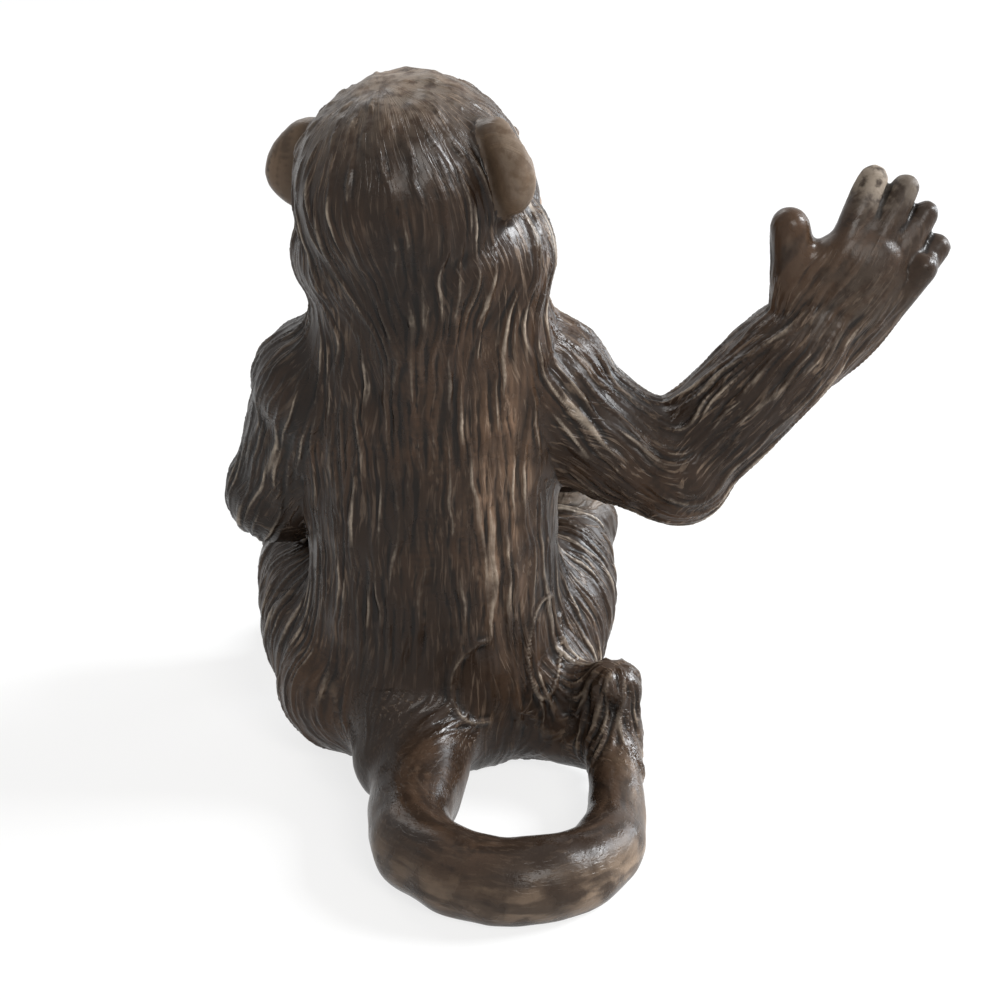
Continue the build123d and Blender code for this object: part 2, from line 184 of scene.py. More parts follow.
def soft_lamp(name, spot, across, power, tint):
    """A square soft lamp that points at the middle of the figure."""
    lamp = bpy.data.objects.new(name, bpy.data.lights.new(name, "AREA"))
    lamp.data.size = across
    lamp.data.energy = power
    lamp.data.color = tint
    lamp.location = spot
    lamp.rotation_euler = (aim - Vector(spot)).to_track_quat("-Z", "Y").to_euler()
    bpy.context.scene.collection.objects.link(lamp)


world = bpy.data.worlds.new("white room")
bpy.context.scene.world = world
world.use_nodes = True
sky = world.node_tree
sky.nodes.clear()
dim_sky = add_node(sky, "ShaderNodeBackground", {"Strength": AMBIENT})
white_sky = add_node(sky, "ShaderNodeBackground", {"Color": (1, 1, 1, 1)})
sky_mix = add_node(sky, "ShaderNodeMixShader", (seen_directly(sky), out(dim_sky), out(white_sky)))
add_node(sky, "ShaderNodeOutputWorld", (out(sky_mix),))
for lamp in LAMPS:
    soft_lamp(*lamp)
print(len(LAMPS), "soft lamps, sky at", AMBIENT)

# %% [markdown]
# ## One lump of clay
#
# The CAD pieces meet in hard creases, and a sculptor's figure doesn't. So copies of the nine pieces
# go into one mesh, and a voxel remesh turns them into one skin with even small squares. All the
# work on the bench is in millimetres, because thousandths of a metre are awkward to think in, and
# the last step scales it back. A CAD mesh is loose triangles, so each copy is merged first.

# %% Copy the pieces
PIECES = ["torso", "head", "right_ear", "left_ear", "right_arm", "left_arm", "right_leg", "left_leg",
          "tail"]
BENCH = 1000.0
CLAY_VOXEL = 0.36


def merged_copy(name):
    """A closed copy of a CAD piece, in millimetres."""
    shell = bmesh.new()
    shell.from_mesh(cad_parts[name].data)
    bmesh.ops.remove_doubles(shell, verts=shell.verts, dist=1e-6)
    bmesh.ops.scale(shell, vec=(BENCH, BENCH, BENCH), verts=shell.verts)
    return shell


def with_modifier(mesh, kind, **settings):
    """A new plain mesh: the given one after a single modifier."""
    holder = bpy.data.objects.new("bench", mesh)
    bpy.context.scene.collection.objects.link(holder)
    modifier = holder.modifiers.new("step", kind)
    for key, value in settings.items():
        setattr(modifier, key, value)
    ready = holder.evaluated_get(bpy.context.evaluated_depsgraph_get())
    made = bpy.data.meshes.new_from_object(ready)
    bpy.data.objects.remove(holder)
    return made


lump = bmesh.new()
solids = {}


def onto_lump(shell):
    """Adds a closed shell to the lump."""
    part = bpy.data.meshes.new("part")
    shell.to_mesh(part)
    shell.free()
    lump.from_mesh(part)
    bpy.data.meshes.remove(part)


for name in PIECES:
    shell = merged_copy(name)
    solids[name] = BVHTree.FromBMesh(shell)
    onto_lump(shell)
print("lump of", len(PIECES), "pieces,", len(lump.faces), "triangles")

# %% [markdown]
# A few places need more clay than the CAD pieces have: webs between the fingers, the edges of the
# palms, the nape, the hollow under the right ear, and the spots where the tail leaves the rump and
# comes back to it. Each is a bar with round ends, made as the hull round two balls. The finger bones
# say where the webs go.

# %% Places on the bench
BOX_TO_SPINE = 0.06
middle_x, middle_y = torso_middle.x * BENCH, torso_middle.y * BENCH - BOX_TO_SPINE


def place(x, y, z):
    """A place on the bench, from the torso's middle line and the table."""
    return np.array([middle_x + x, middle_y + y, z])


def turned(*turns):
    """The axes of a hand after turns about its own axes, in degrees."""
    axes = Matrix.Identity(3)
    for axis, angle in turns:
        axes = axes @ Matrix.Rotation(math.radians(angle), 3, axis)
    return np.array(axes)


HEAD_MIDDLE, HEAD_AXES = place(1.8, 0, 56.5), turned(("Z", -32), ("Y", 9))
RIGHT_PALM, RIGHT_HAND = place(-37.8, -2.0, 45.9), turned(("Y", -29))
LEFT_PALM, LEFT_HAND = place(-7.7, -14.4, 24.9), turned(("Z", 20), ("Y", -90), ("Z", -90))
HALF_PALM_WIDTH, HALF_PALM_LENGTH, FINGER_LENGTH = 5.4, 6.7, 6.2
FINGER_CURL = math.radians(24)
# across the palm, along it, length and fan in degrees, from the first finger to the little one
FINGERS = ((0.46, 0.62, 1.04, 3), (0.02, 0.70, 1.06, -3), (-0.42, 0.60, 1.00, -9),
           (-0.80, 0.38, 0.90, -15))


def finger_bones(palm, axes, thumb_side):
    """The root and tip of each finger."""
    bones = []
    for across, along, length, fan in FINGERS:
        lean = math.radians(thumb_side * fan)
        root_in_palm = [thumb_side * across * HALF_PALM_WIDTH, 0, along * HALF_PALM_LENGTH]
        root = palm + axes @ np.array(root_in_palm)
        curl = math.cos(FINGER_CURL)
        way = axes @ np.array([curl * math.sin(lean), -math.sin(FINGER_CURL), curl * math.cos(lean)])
        bones.append((root, root + way * FINGER_LENGTH * length))
    return bones


right_fingers = finger_bones(RIGHT_PALM, RIGHT_HAND, 1)
left_fingers = finger_bones(LEFT_PALM, LEFT_HAND, -1)
print("finger bones:", len(right_fingers) + len(left_fingers))

# %% Press on more clay
WEB_REACH, WEB_RADIUS, WEB_TAPER = 0.6, 1.4, 0.9
# across and along the palm from its middle, for both ends, and the two radii
PALM_BARS = (((-4.9, 5.6), (-3.8, -2.5), 1.5, 1.6), ((-3.8, -2.5), (-2.4, -7.0), 1.6, 1.8),
             ((1.6, 2.6), (5.6, 0.9), 1.8, 1.7))
# both ends and the two radii
BODY_BARS = (("tip of the tail to the rump", (-9.5, 3.2, 4.2), (-15.6, 7.2, 4.0), 3.8, 2.8),
             ("higher up on the tip", (-11.0, 4.0, 8.0), (-16.2, 6.0, 8.6), 2.6, 2.4),
             ("root of the tail", (3.0, 4.0, 5.5), (3.6, 11.5, 4.4), 5.0, 4.0),
             ("slope above the root", (3.2, 2.6, 13.0), (3.4, 9.0, 6.6), 5.4, 4.0),
             ("nape", (1.5, 3.6, 51), (0.5, 2.6, 38), 6.5, 6.4),
             ("right side of the neck", (-5.5, 2.6, 50), (-5.5, 2.4, 39), 4.8, 4.8),
             ("left side of the neck", (5.5, 2.6, 50), (5.5, 2.4, 39), 4.8, 4.8),
             ("under the right ear", (-5.3, 2.4, 50), (-3.4, 0.6, 59), 4.8, 3.8))


def clay_bar(start, end, start_radius, end_radius):
    """Adds a bar of clay with round ends to the lump."""
    bar = bmesh.new()
    for spot, radius in ((start, start_radius), (end, end_radius)):
        ball = bmesh.ops.create_icosphere(bar, subdivisions=3, radius=radius)
        bmesh.ops.translate(bar, verts=ball["verts"], vec=Vector(spot))
    hull = bmesh.ops.convex_hull(bar, input=bar.verts)
    inside = [item for item in hull["geom_interior"] if isinstance(item, bmesh.types.BMVert)]
    bmesh.ops.delete(bar, geom=inside, context="VERTS")
    onto_lump(bar)


for bones in (right_fingers, left_fingers):
    for (root, tip), (next_root, next_tip) in zip(bones, bones[1:]):
        web_end = (root + next_root) / 2 + WEB_REACH * (tip - root + next_tip - next_root) / 2
        clay_bar((root + next_root) / 2, web_end, WEB_RADIUS, WEB_RADIUS * WEB_TAPER)
for palm, axes, side in ((RIGHT_PALM, RIGHT_HAND, 1), (LEFT_PALM, LEFT_HAND, -1)):
    for start, end, start_radius, end_radius in PALM_BARS:
        ends = [palm + axes @ np.array([side * across, 0, along]) for across, along in (start, end)]
        clay_bar(*ends, start_radius, end_radius)
for where, start, end, start_radius, end_radius in BODY_BARS:
    clay_bar(place(*start), place(*end), start_radius, end_radius)
    print("clay pressed on:", where)
print("lump now", len(lump.faces), "triangles")

# %% Remesh the lump
lump_mesh = bpy.data.meshes.new("lump")
lump.to_mesh(lump_mesh)
lump.free()
clay = with_modifier(lump_mesh, "REMESH", mode="VOXEL", voxel_size=CLAY_VOXEL)
bpy.data.meshes.remove(lump_mesh)
print("clay:", len(clay.vertices), "points,", len(clay.polygons), "squares")

# %% [markdown]
# A remesh can leave small closed bubbles where a peg had a gap round it. Only the outer skin is
# wanted, so the points are grouped by which of them hang together, and the largest group is kept.

# %% Keep the outer skin
def table_of(items, key, width, kind=float):
    """One row of numbers for each point, edge or face of a mesh."""
    table = np.empty(len(items) * width, kind)
    items.foreach_get(key, table)
    return table.reshape(-1, width)


def corners_of(mesh):
    """The corners of every square as point numbers."""
    return table_of(mesh.polygons, "vertices", 4, np.int32)


def points_of(mesh):
    """Every point's place."""
    return table_of(mesh.vertices, "co", 3)


def edges_of(mesh):
    """Every edge as two point numbers."""
    return table_of(mesh.edges, "vertices", 2, np.int32)


def groups_of(count, edges):
    """A number for each point that is the same for all points of one connected skin."""
    mark = np.arange(count)
    while True:
        low = np.minimum(mark[edges[:, 0]], mark[edges[:, 1]])
        fresh = mark.copy()
        np.minimum.at(fresh, edges[:, 0], low)
        np.minimum.at(fresh, edges[:, 1], low)
        fresh = fresh[fresh]
        if np.array_equal(fresh, mark):
            return mark
        mark = fresh


def plain_mesh(name, points, faces):
    """A mesh from tables of points and faces."""
    mesh = bpy.data.meshes.new(name)
    mesh.from_pydata(points.tolist(), [], faces.tolist())
    mesh.update()
    return mesh


points, squares = points_of(clay), corners_of(clay)
group = groups_of(len(points), edges_of(clay))
outer = np.bincount(group).argmax()
renumber = np.cumsum(group == outer) - 1
squares = renumber[squares[group[squares[:, 0]] == outer]]
points = points[group == outer]
clay = plain_mesh("clay", points, squares)
edges = edges_of(clay)
print("bubbles dropped:", len(np.unique(group)) - 1, "skin:", len(points), "points")

# %% [markdown]
# ## Whose skin is it
#
# The finished figure has to come apart into the same nine pieces as the CAD model, so every point
# is measured against every CAD piece. The nearest piece owns it. The distance to the second nearest
# says how close the point is to a join, and that is where the clay gets smoothed most.

# %% Measure each point against the pieces
FAR = 12.0
reach_to = np.full((len(points), len(PIECES)), FAR)
for column, name in enumerate(PIECES):
    low, high = (np.array(corner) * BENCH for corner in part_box(name))
    outside = np.maximum(np.maximum(low - points, points - high), 0)
    for row in np.nonzero(np.linalg.norm(outside, axis=1) < FAR * 0.5)[0]:
        reach_to[row, column] = solids[name].find_nearest(Vector(points[row]))[3]
owner = reach_to[squares].sum(1).argmin(1)
second = np.sort(reach_to, axis=1)[:, 1]
for column, name in enumerate(PIECES):
    print(name, "owns", int((owner == column).sum()), "squares")

# %% [markdown]
# ## Soft joins
#
# A sculptor presses clay into each crease and smooths it with a thumb. In code, a point in a crease
# lies below the middle of its neighbours, so it is moved out towards that middle, again and again,
# and never inwards. That fills the crease and leaves the round forms beside it alone. The tail and
# the neck run into the back in wide soft curves, and a hand on a knee only just touches it.

# %% Fill the creases
def ease(value, start, end):
    """0 below start, 1 above end, and a smooth rise between."""
    share = np.clip((value - start) / (end - start), 0, 1)
    return share * share * (3 - 2 * share)


def unit(vectors):
    """Directions of length 1."""
    return vectors / np.maximum(np.linalg.norm(vectors, axis=-1, keepdims=True), 1e-9)


def distance(where, spot):
    """How far each point is from a place."""
    return np.linalg.norm(where - spot, axis=1)


def bell(value, middle, width):
    """1 at the middle, falling off softly to both sides."""
    return np.exp(-(((value - middle) / width) ** 2))


def neighbour_mean(values, edges):
    """The mean of each point's neighbours."""
    count = len(values)
    flat = values.reshape(count, -1)
    total = np.empty_like(flat)
    for column in range(flat.shape[1]):
        total[:, column] = np.bincount(edges[:, 0], flat[edges[:, 1], column], count)
        total[:, column] += np.bincount(edges[:, 1], flat[edges[:, 0], column], count)
    return (total / np.bincount(edges.ravel(), minlength=count)[:, None]).reshape(values.shape)


def facing(points, squares):
    """Every point's outward direction, from the squares round it."""
    first, second, third, fourth = (points[squares[:, corner]] for corner in range(4))
    square_facing = np.cross(third - first, fourth - second)
    total = np.empty_like(points)
    for axis in range(3):
        shares = np.repeat(square_facing[:, axis], 4)
        total[:, axis] = np.bincount(squares.ravel(), shares, len(points))
    return unit(total)


JOIN_WIDTHS = {"head": 9.0, "tail": 8.0, "right_arm": 5.0, "left_arm": 4.0, "right_leg": 4.0,
               "left_leg": 4.0, "right_ear": 0.9, "left_ear": 0.9}
TOUCH_WIDTH = 0.8
JOIN_ROUNDS, JOIN_STRENGTH = 200, 0.9
RIGHT_ELBOW, LEFT_ELBOW = place(-22.7, 0, 29.7), place(14.9, -5, 24.9)
# where clay is pressed in besides the joins, and how far it reaches
FILLS = ((RIGHT_ELBOW, 10.0), (LEFT_ELBOW, 10.0),
         (RIGHT_PALM + RIGHT_HAND @ np.array([4, 0, 2]), 4.5),
         (LEFT_PALM + LEFT_HAND @ np.array([-4, 0, 2]), 4.5),
         (RIGHT_PALM - RIGHT_HAND @ np.array([2, 0, 5]), 6.0), (place(-13.5, 5.5, 6.5), 7.0))
order = np.argsort(reach_to, axis=1)
nearest, partner = order[:, 0], order[:, 1]
torso_number, head_number = PIECES.index("torso"), PIECES.index("head")
ears = [PIECES.index("right_ear"), PIECES.index("left_ear")]
is_ear = np.isin(nearest, ears)
with_torso = (nearest == torso_number) | (partner == torso_number)
limb_number = np.where(nearest == torso_number, partner, nearest)
join_width = np.array([JOIN_WIDTHS.get(name, TOUCH_WIDTH) for name in PIECES])[limb_number]
join_width[~with_torso] = TOUCH_WIDTH
join_share = JOIN_STRENGTH * (1 - ease(second / join_width, 0.25, 1.0))
at_neck = (nearest == head_number) | (partner == head_number)
at_neck_front = at_neck & (points[:, 1] < torso_middle.y * BENCH)
join_share[at_neck_front] *= 1 - ease(second[at_neck_front], 2.0, 4.5)
for spot, reach in FILLS:
    fill = JOIN_STRENGTH * (1 - ease(distance(points, spot), 0.65 * reach, reach))
    join_share = np.maximum(join_share, fill)
for turn in range(JOIN_ROUNDS):
    if turn % 10 == 0:
        normals = facing(points, squares)
    pull = ((neighbour_mean(points, edges) - points) * normals).sum(1)
    points = points + (join_share * np.maximum(pull, 0))[:, None] * normals
print("creases filled over", int((join_share > 0.05).sum()), "points")

# %% [markdown]
# The lumps inside one piece, such as the elbow, the brow and the muzzle, are softened too. Plain
# relaxing shrinks a thin finger, so each round of it is followed by a slightly stronger round the
# other way, which keeps the size and only takes the sharp creases off. The hands and feet are left
# out, because the creases between fingers are wanted. The ears are pulled in to a leaf shape, and
# the root of the tail is pushed in a little where it meets the loop.

# %% Soften all over without shrinking
def relax(values, edges, share, rounds):
    """Values moved towards the mean of their neighbours."""
    for _ in range(rounds):
        values = values + share * (neighbour_mean(values, edges) - values)
    return values


SOFTEN_ROUNDS, SOFTEN_IN, SOFTEN_BACK = 16, 0.5, -0.512
EAR_OUT, EAR_BACK, EAR_UP, EAR_SWEEP, HALF_EAR_HEIGHT = 9.7, 0.6, 2.3, 22, 4.5
# side, the width that is kept, and how much of it goes towards the tip
EAR_SHAPES = (("right_ear", -1, 0.92, 0.45), ("left_ear", 1, 0.97, 0.15))
TAIL_ROOT, TAIL_ROOT_SIZE, TAIL_ROOT_SHIFT = place(3.0, 8.5, 4.0), np.array([7.0, 6.0, 8.0]), 2.2
RIGHT_TOES, LEFT_TOES = place(-12.6, -26.0, 1.0), place(12.6, -26.0, 1.0)
keep_sharp = np.zeros(len(points))
for spot, reach in ((RIGHT_PALM, 13.0), (LEFT_PALM, 12.0), (RIGHT_TOES, 8.0), (LEFT_TOES, 8.0)):
    keep_sharp = np.maximum(keep_sharp, 1 - ease(distance(points, spot), reach - 3, reach))
soften = (1 - 0.6 * keep_sharp)[:, None]
for _ in range(SOFTEN_ROUNDS):
    points = relax(points, edges, SOFTEN_IN * soften, 1)
    points = relax(points, edges, SOFTEN_BACK * soften, 1)
on_ear = relax(is_ear.astype(float), edges, 0.5, 3)[:, None]
for name, side, narrow, point_share in EAR_SHAPES:
    axes = HEAD_AXES @ turned(("Z", side * EAR_SWEEP))
    ear_root = HEAD_AXES @ np.array([side * EAR_OUT, EAR_BACK, EAR_UP])
    local = (points - HEAD_MIDDLE - ear_root) @ axes
    width = narrow * (1 - point_share * ease(local[:, 2] / HALF_EAR_HEIGHT, -0.3, 1.2))
    inwards = (nearest == PIECES.index(name)) * np.maximum(side * local[:, 0], 0) * (1 - width)
    points = points - (side * inwards)[:, None] * axes[:, 0]
points = relax(points, edges, 0.5 * on_ear, 9)
at_tail_root = np.exp(-(((points - TAIL_ROOT) / TAIL_ROOT_SIZE) ** 2).sum(1))
loop_side = 1 - ease(points[:, 0], TAIL_ROOT[0] - 2, TAIL_ROOT[0] + 4)
points[:, 0] += TAIL_ROOT_SHIFT * at_tail_root * loop_side
normals = facing(points, squares)
print("clay is now", np.ptp(points, axis=0).round(1), "mm")

# %% [markdown]
# ## Which way the fur lies
#
# Fur lies along the limbs, down the back and away from the crown of the head. Every point gets a
# direction from the part of the body that it is on. The limbs follow their bones, which are the
# same shoulder, elbow, wrist, hip, knee and ankle places as in the CAD model. The whole field is
# then smoothed over the skin, so that one region runs into the next. Where the directions still
# disagree, as in a whorl, there will be less fur.

# %% Bones
RIGHT_ARM = [place(-9.9, -2, 36.9), RIGHT_ELBOW, place(-34.1, -2, 41.1), place(-45.0, -5, 58.0)]
LEFT_ARM = [place(9.9, -2, 36.9), LEFT_ELBOW, place(-4.1, -13.6, 25.5), place(-16, -16, 24)]
RIGHT_LEG, LEFT_LEG = ([place(side * 8.2, 0.8, 7.4), place(side * 12.6, -14.2, 16.6),
                        place(side * 12.6, -15.8, 6.4), place(side * 12.6, -29, 1)] for side in (-1, 1))
CROWN = HEAD_MIDDLE + HEAD_AXES @ np.array([0, 2.5, 10.2])
NAPE = place(1.0, 9.5, 41.0)
RING_MIDDLE = place(-7.2, 20.6, 0)


def along_bones(where, route):
    """The direction of the nearest bone, and how far along the route each point is, in bones."""
    best = np.full(len(where), 1e9)
    heading = np.zeros_like(where)
    travel = np.zeros(len(where))
    for step, (start, end) in enumerate(zip(route, route[1:])):
        bone = end - start
        share = np.clip(((where - start) @ bone) / (bone @ bone), 0, 1)
        gap = np.linalg.norm(where - start - share[:, None] * bone, axis=1)
        closer = gap < best
        best[closer] = gap[closer]
        heading[closer] = bone / np.linalg.norm(bone)
        travel[closer] = step + share[closer]
    return heading, travel


face_place = (points - HEAD_MIDDLE) @ HEAD_AXES
print("crown at", CROWN.round(1), "nape at", NAPE.round(1))

# %% Comb each region
DOWN = np.array([0.0, 0.0, -1.0])
BACK_LOCK, CROWN_LOCK, NAPE_LOCK, ARM_LOCK, LEG_LOCK, TUFT_LOCK = 13.0, 2.0, 9.0, 9.0, 7.0, 6.0
flow = np.tile(DOWN, (len(points), 1))
lock = np.full(len(points), BACK_LOCK)


def on(name):
    """The points that a piece owns."""
    return nearest == PIECES.index(name)


neck = place(0, -0.6, 54.0)
on_yoke = ease(points[:, 2], 34, 44)[:, None]
flow = np.where(on("torso")[:, None], DOWN + on_yoke * unit(points - neck) * 1.2, flow)

from_crown = unit(points - CROWN)
low_behind = ease(points[:, 1], middle_y - 2, middle_y + 6) * ease(62 - points[:, 2], 0, 14)
to_nape = unit(NAPE - points) * low_behind[:, None]
nose = HEAD_MIDDLE + HEAD_AXES @ np.array([0, -16.0, -2.0])
from_face = unit(0.7 * unit(points - nose) + DOWN)
front = (ease(-face_place[:, 1], 2, 8) * (1 - ease(face_place[:, 2], -1, 5)))[:, None]
head_flow = (1 - front) * (from_crown + 1.5 * to_nape) + front * from_face
flow = np.where(on("head")[:, None], head_flow, flow)
head_lock = CROWN_LOCK + (NAPE_LOCK - CROWN_LOCK) * ease(distance(points, CROWN), 4, 11)
lock[on("head")] = head_lock[on("head")]

travels = {}
for name, route, sag in (("right_arm", RIGHT_ARM, 0.35), ("left_arm", LEFT_ARM, 0.25)):
    heading, travel = along_bones(points, route)
    upper = (1 - ease(travel, 0.6, 1.1))[:, None]
    flow = np.where(on(name)[:, None], unit(heading + sag * upper * DOWN), flow)
    lock[on(name)] = ARM_LOCK
    travels[name] = travel
for name, route, side in (("right_leg", RIGHT_LEG, -1), ("left_leg", LEFT_LEG, 1)):
    heading, travel = along_bones(points, route)
    hanging = np.column_stack([side * normals[:, 2], 0 * travel, -np.abs(normals[:, 0])]) + 0.35 * DOWN
    lower = ease(travel, 0.8, 1.3)[:, None]
    flow = np.where(on(name)[:, None], unit((1 - lower) * hanging + lower * heading), flow)
    lock[on(name)] = LEG_LOCK
    travels[name] = travel

ring_out = (points - RING_MIDDLE) * np.array([1, 1, 0])
along_ring = np.cross(ring_out, DOWN)
on_tuft = on("tail") & (points[:, 0] < middle_x - 9) & (points[:, 1] < middle_y + 14)
flow = np.where(on("tail")[:, None], unit(along_ring), flow)
flow[on_tuft] = -DOWN
TUFT_MIDDLE = points[on_tuft & (points[:, 2] > 6)].mean(0)


def lay_flat(field):
    """A field with the part that points out of the skin taken away."""
    return unit(field - (field * normals).sum(1, keepdims=True) * normals)


flow = lay_flat(unit(flow))
for _ in range(30):
    flow = lay_flat(relax(flow, edges, 0.6, 1))
agree = ease(np.linalg.norm(relax(flow, edges, 0.6, 14), axis=1), 0.72, 0.94)
print("combed", len(flow), "points; fur disagrees at", int((agree < 0.5).sum()))

# %% [markdown]
# Between the large ridges the real fur has lines as fine as hairs. To paint those, every point gets
# a place on a strand map: a copy of its place that is squeezed along the fur. A speckled pattern on
# the map then comes out on the skin as long thin strands. The limbs are unrolled along their bones,
# the head and the back round one line from the crown to the seat, and the tail round its ring. The
# tail is squeezed less, because its paint is blotched and has no strands.

# %% Lay out the strand map
SQUEEZE, RING_SQUEEZE = 0.07, 0.3
LIMB_RADIUS, BODY_RADIUS, HAUNCH_RADIUS, RING_RADIUS = 4.5, 11.0, 7.0, 10.0
STRAND_WAVER, WAVE_COUNT, WAVE_CALM = 0.45, 40, 6


def unrolled(where, route):
    """The map along a limb: two ways across the nearest bone, and the squeezed way along it."""
    best = np.full(len(where), 1e9)
    laid = np.zeros_like(where)
    done, across, last = 0.0, None, None
    for start, end in zip(route, route[1:]):
        bone = Vector(end - start)
        way = bone.normalized()
        across = way.orthogonal().normalized() if last is None else last.rotation_difference(way) @ across
        axes = np.array([across, way.cross(across), way]).T
        local = (where - start) @ axes
        on_bone = np.clip(local[:, 2:], 0, bone.length) * np.array([0, 0, 1])
        gap = np.linalg.norm(local - on_bone, axis=1)
        closer = gap < best
        best[closer] = gap[closer]
        round_bone = unit(local[:, :2]) * LIMB_RADIUS
        laid[closer] = np.column_stack([round_bone, (local[:, 2] + done) * SQUEEZE])[closer]
        done, last = done + bone.length, way
    return laid


def wobble(where, size, seed):
    """A slow random height between about -1 and 1, with bumps of about the given size."""
    waves = np.random.default_rng(seed)
    total = np.zeros(len(where))
    for _ in range(WAVE_COUNT):
        way = unit(waves.normal(size=3)) * waves.uniform(0.7, 1.4) * 2 * math.pi / size
        total += np.sin(where @ way + waves.uniform(0, 2 * math.pi))
    return total / WAVE_CALM


fall = np.clip((CROWN[2] - points[:, 2]) / (CROWN[2] - NAPE[2]), 0.02, 1)[:, None]
body_axis = CROWN[:2] + fall * (np.array([middle_x, middle_y]) - CROWN[:2])
round_body = unit(points[:, :2] - body_axis) * BODY_RADIUS
strand_map = np.column_stack([round_body, points[:, 2] * SQUEEZE])
for name, route in (("right_arm", RIGHT_ARM), ("left_arm", LEFT_ARM)):
    strand_map[on(name)] = unrolled(points[on(name)], route)
for name, route, side in (("right_leg", RIGHT_LEG, -1), ("left_leg", LEFT_LEG, 1)):
    from_hip = (points - route[0])[on(name)]
    around = np.arctan2(from_hip[:, 2], side * from_hip[:, 0]) * HAUNCH_RADIUS
    haunch = np.column_stack([from_hip[:, 1], 0 * around, around * SQUEEZE])
    behind_knee = (from_hip[:, 1] > -9)[:, None]
    strand_map[on(name)] = np.where(behind_knee, haunch, strand_map[on(name)])
ring_turn = np.arctan2(ring_out[:, 0], ring_out[:, 1]) * RING_RADIUS
from_ring = np.hypot(*ring_out.T[:2])
ring_map = np.column_stack([from_ring, points[:, 2], ring_turn * RING_SQUEEZE])
strand_map[on("tail")] = ring_map[on("tail")]
strand_map[:, 0] += STRAND_WAVER * wobble(points, 9, 31)
strand_map[:, 1] += STRAND_WAVER * wobble(points, 9, 32)
hair = np.maximum(ease(second, 0.0, 0.7), np.isin(limb_number, [head_number]) & with_torso)
print("strand map from", strand_map.min(0).round(1), "to", strand_map.max(0).round(1))

# %% [markdown]
# The face, the ears, the hands, the feet and the tail are bare. A value from 0 to 1 says how furry
# each point is, and another says how bare the skin is painted. Two more say where the paint is
# lighter. One is rubbed to a warm brown: wear on the tail, and a painted sheen on the back, a painted
# highlight on the right side of the tail loop and on the crown. The other is pale: dry paint on the
# fingers and the knee, and a painted highlight on the crown and the rim of the right ear.

# %% Mark fur and bare skin
face_oval = np.sqrt((face_place[:, 0] / 6.9) ** 2 + ((face_place[:, 2] + 2.4) / 7.4) ** 2)
on_face = on("head") * (1 - ease(face_oval, 0.86, 1.06)) * ease(-face_place[:, 1], 5.5, 8)
smooth = on_face.copy()
smooth[is_ear] = 1
for name, wrist, fingers in (("right_arm", 1.95, 2.75), ("left_arm", 1.85, 2.3),
                             ("right_leg", 1.9, 2.25), ("left_leg", 1.9, 2.25)):
    smooth = np.maximum(smooth, on(name) * ease(travels[name], wrist, fingers))
bare = np.maximum(on_face, 0.06 * smooth)
smooth_tail = on("tail") & ~on_tuft
off_torso = reach_to[:, torso_number]
fur = 1 - np.maximum(smooth, smooth_tail * ease(off_torso, 0.5, 6.0))
hair *= np.maximum(fur, 0.25)
at_side, at_height = points[:, 0] - middle_x, points[:, 2]
calm = (on("torso") | on("head")) * ease(normals[:, 1], 0.3, 0.8) * bell(at_side, 1.5, 6.5)
hair *= (1 - 0.65 * calm) * (1 - 0.8 * at_tail_root)
thin_on_rump = 0.55 * on("torso") * ease(normals[:, 1], 0.3, 0.7) * (1 - ease(points[:, 2], 11, 20))
fur *= 1 - thin_on_rump
fur *= (1 - 0.8 * at_tail_root) * (0.15 + 0.85 * agree)
fur = relax(fur, edges, 0.5, 8)
bare = relax(bare, edges, 0.5, 4)
lock[on_tuft] = TUFT_LOCK
# painted sheen: a lighter warm brown on the back beside the spine
sheen_beside_spine = np.exp(-(((at_side + 6.6) / 2.6) ** 2) - ((at_height - 29) / 11) ** 2)
rubbed_and_sheen = sheen_beside_spine * ease(normals[:, 1], 0.1, 0.6)
ring_share = ease(from_ring, 9.5, 13.5) * (1 - ease(points[:, 2], 2.5, 7.5))
# painted highlight: more of it on the right side of the tail loop
ring_share *= 0.6 + 0.5 * ease(RING_MIDDLE[0] - points[:, 0], 3, 12)
rubbed_and_sheen = np.where(on("tail"), ring_share * ease(off_torso, 5, 9), rubbed_and_sheen)
# on the crown it is a painted highlight
rubbed_and_sheen = np.where(on("head"), 0.25 * bell(distance(points, CROWN), 0, 6.5), rubbed_and_sheen)
# where the paint is pale, how far that reaches, and how strong it is: dry paint on the fingers, the knee and
# the palm, and a painted highlight on the crown
PALE_WEAR_AND_HIGHLIGHT_SPOTS = ((right_fingers[0][1], 2.4, 1.0), (right_fingers[1][1], 1.6, 0.5),
              (place(-12.6, -14.2, 22.5), 4.0, 0.5), (left_fingers[0][1], 2.0, 0.4),
              (left_fingers[1][1], 2.0, 0.4), (CROWN + np.array([0, -2, 0]), 7.0, 0.36),
              (RIGHT_PALM + np.array([0, 2, 0]), 5.5, 0.06))
pale = np.zeros(len(points))
for spot, reach, share in PALE_WEAR_AND_HIGHLIGHT_SPOTS:
    pale = np.maximum(pale, share * bell(distance(points, spot), 0, reach))
# painted highlight on the outer part of the right ear
pale = np.maximum(pale, 0.13 * on("right_ear") * ease(reach_to[:, head_number], 2.2, 3.6))
print("furry share:", round(float(fur.mean()), 3), "bare share:", round(float(bare.mean()), 3))

# %% [markdown]
# ## Paint streaks and creases
#
# The brush was dragged along the fur, so the brown is streaky in the same direction. To make
# streaks, every point gets a random tone, and then takes the mean of the tones that lie ahead of
# and behind it along the fur. Dark paint gathers in hollows, which are the points that would move
# outwards if the clay were relaxed a lot: it is a wash, and in the creases it is also painted shade.
# The roots of the ears get a painted shadow, and the left ear, the left arm, the hands and the middle
# of the head get painted shade all over.

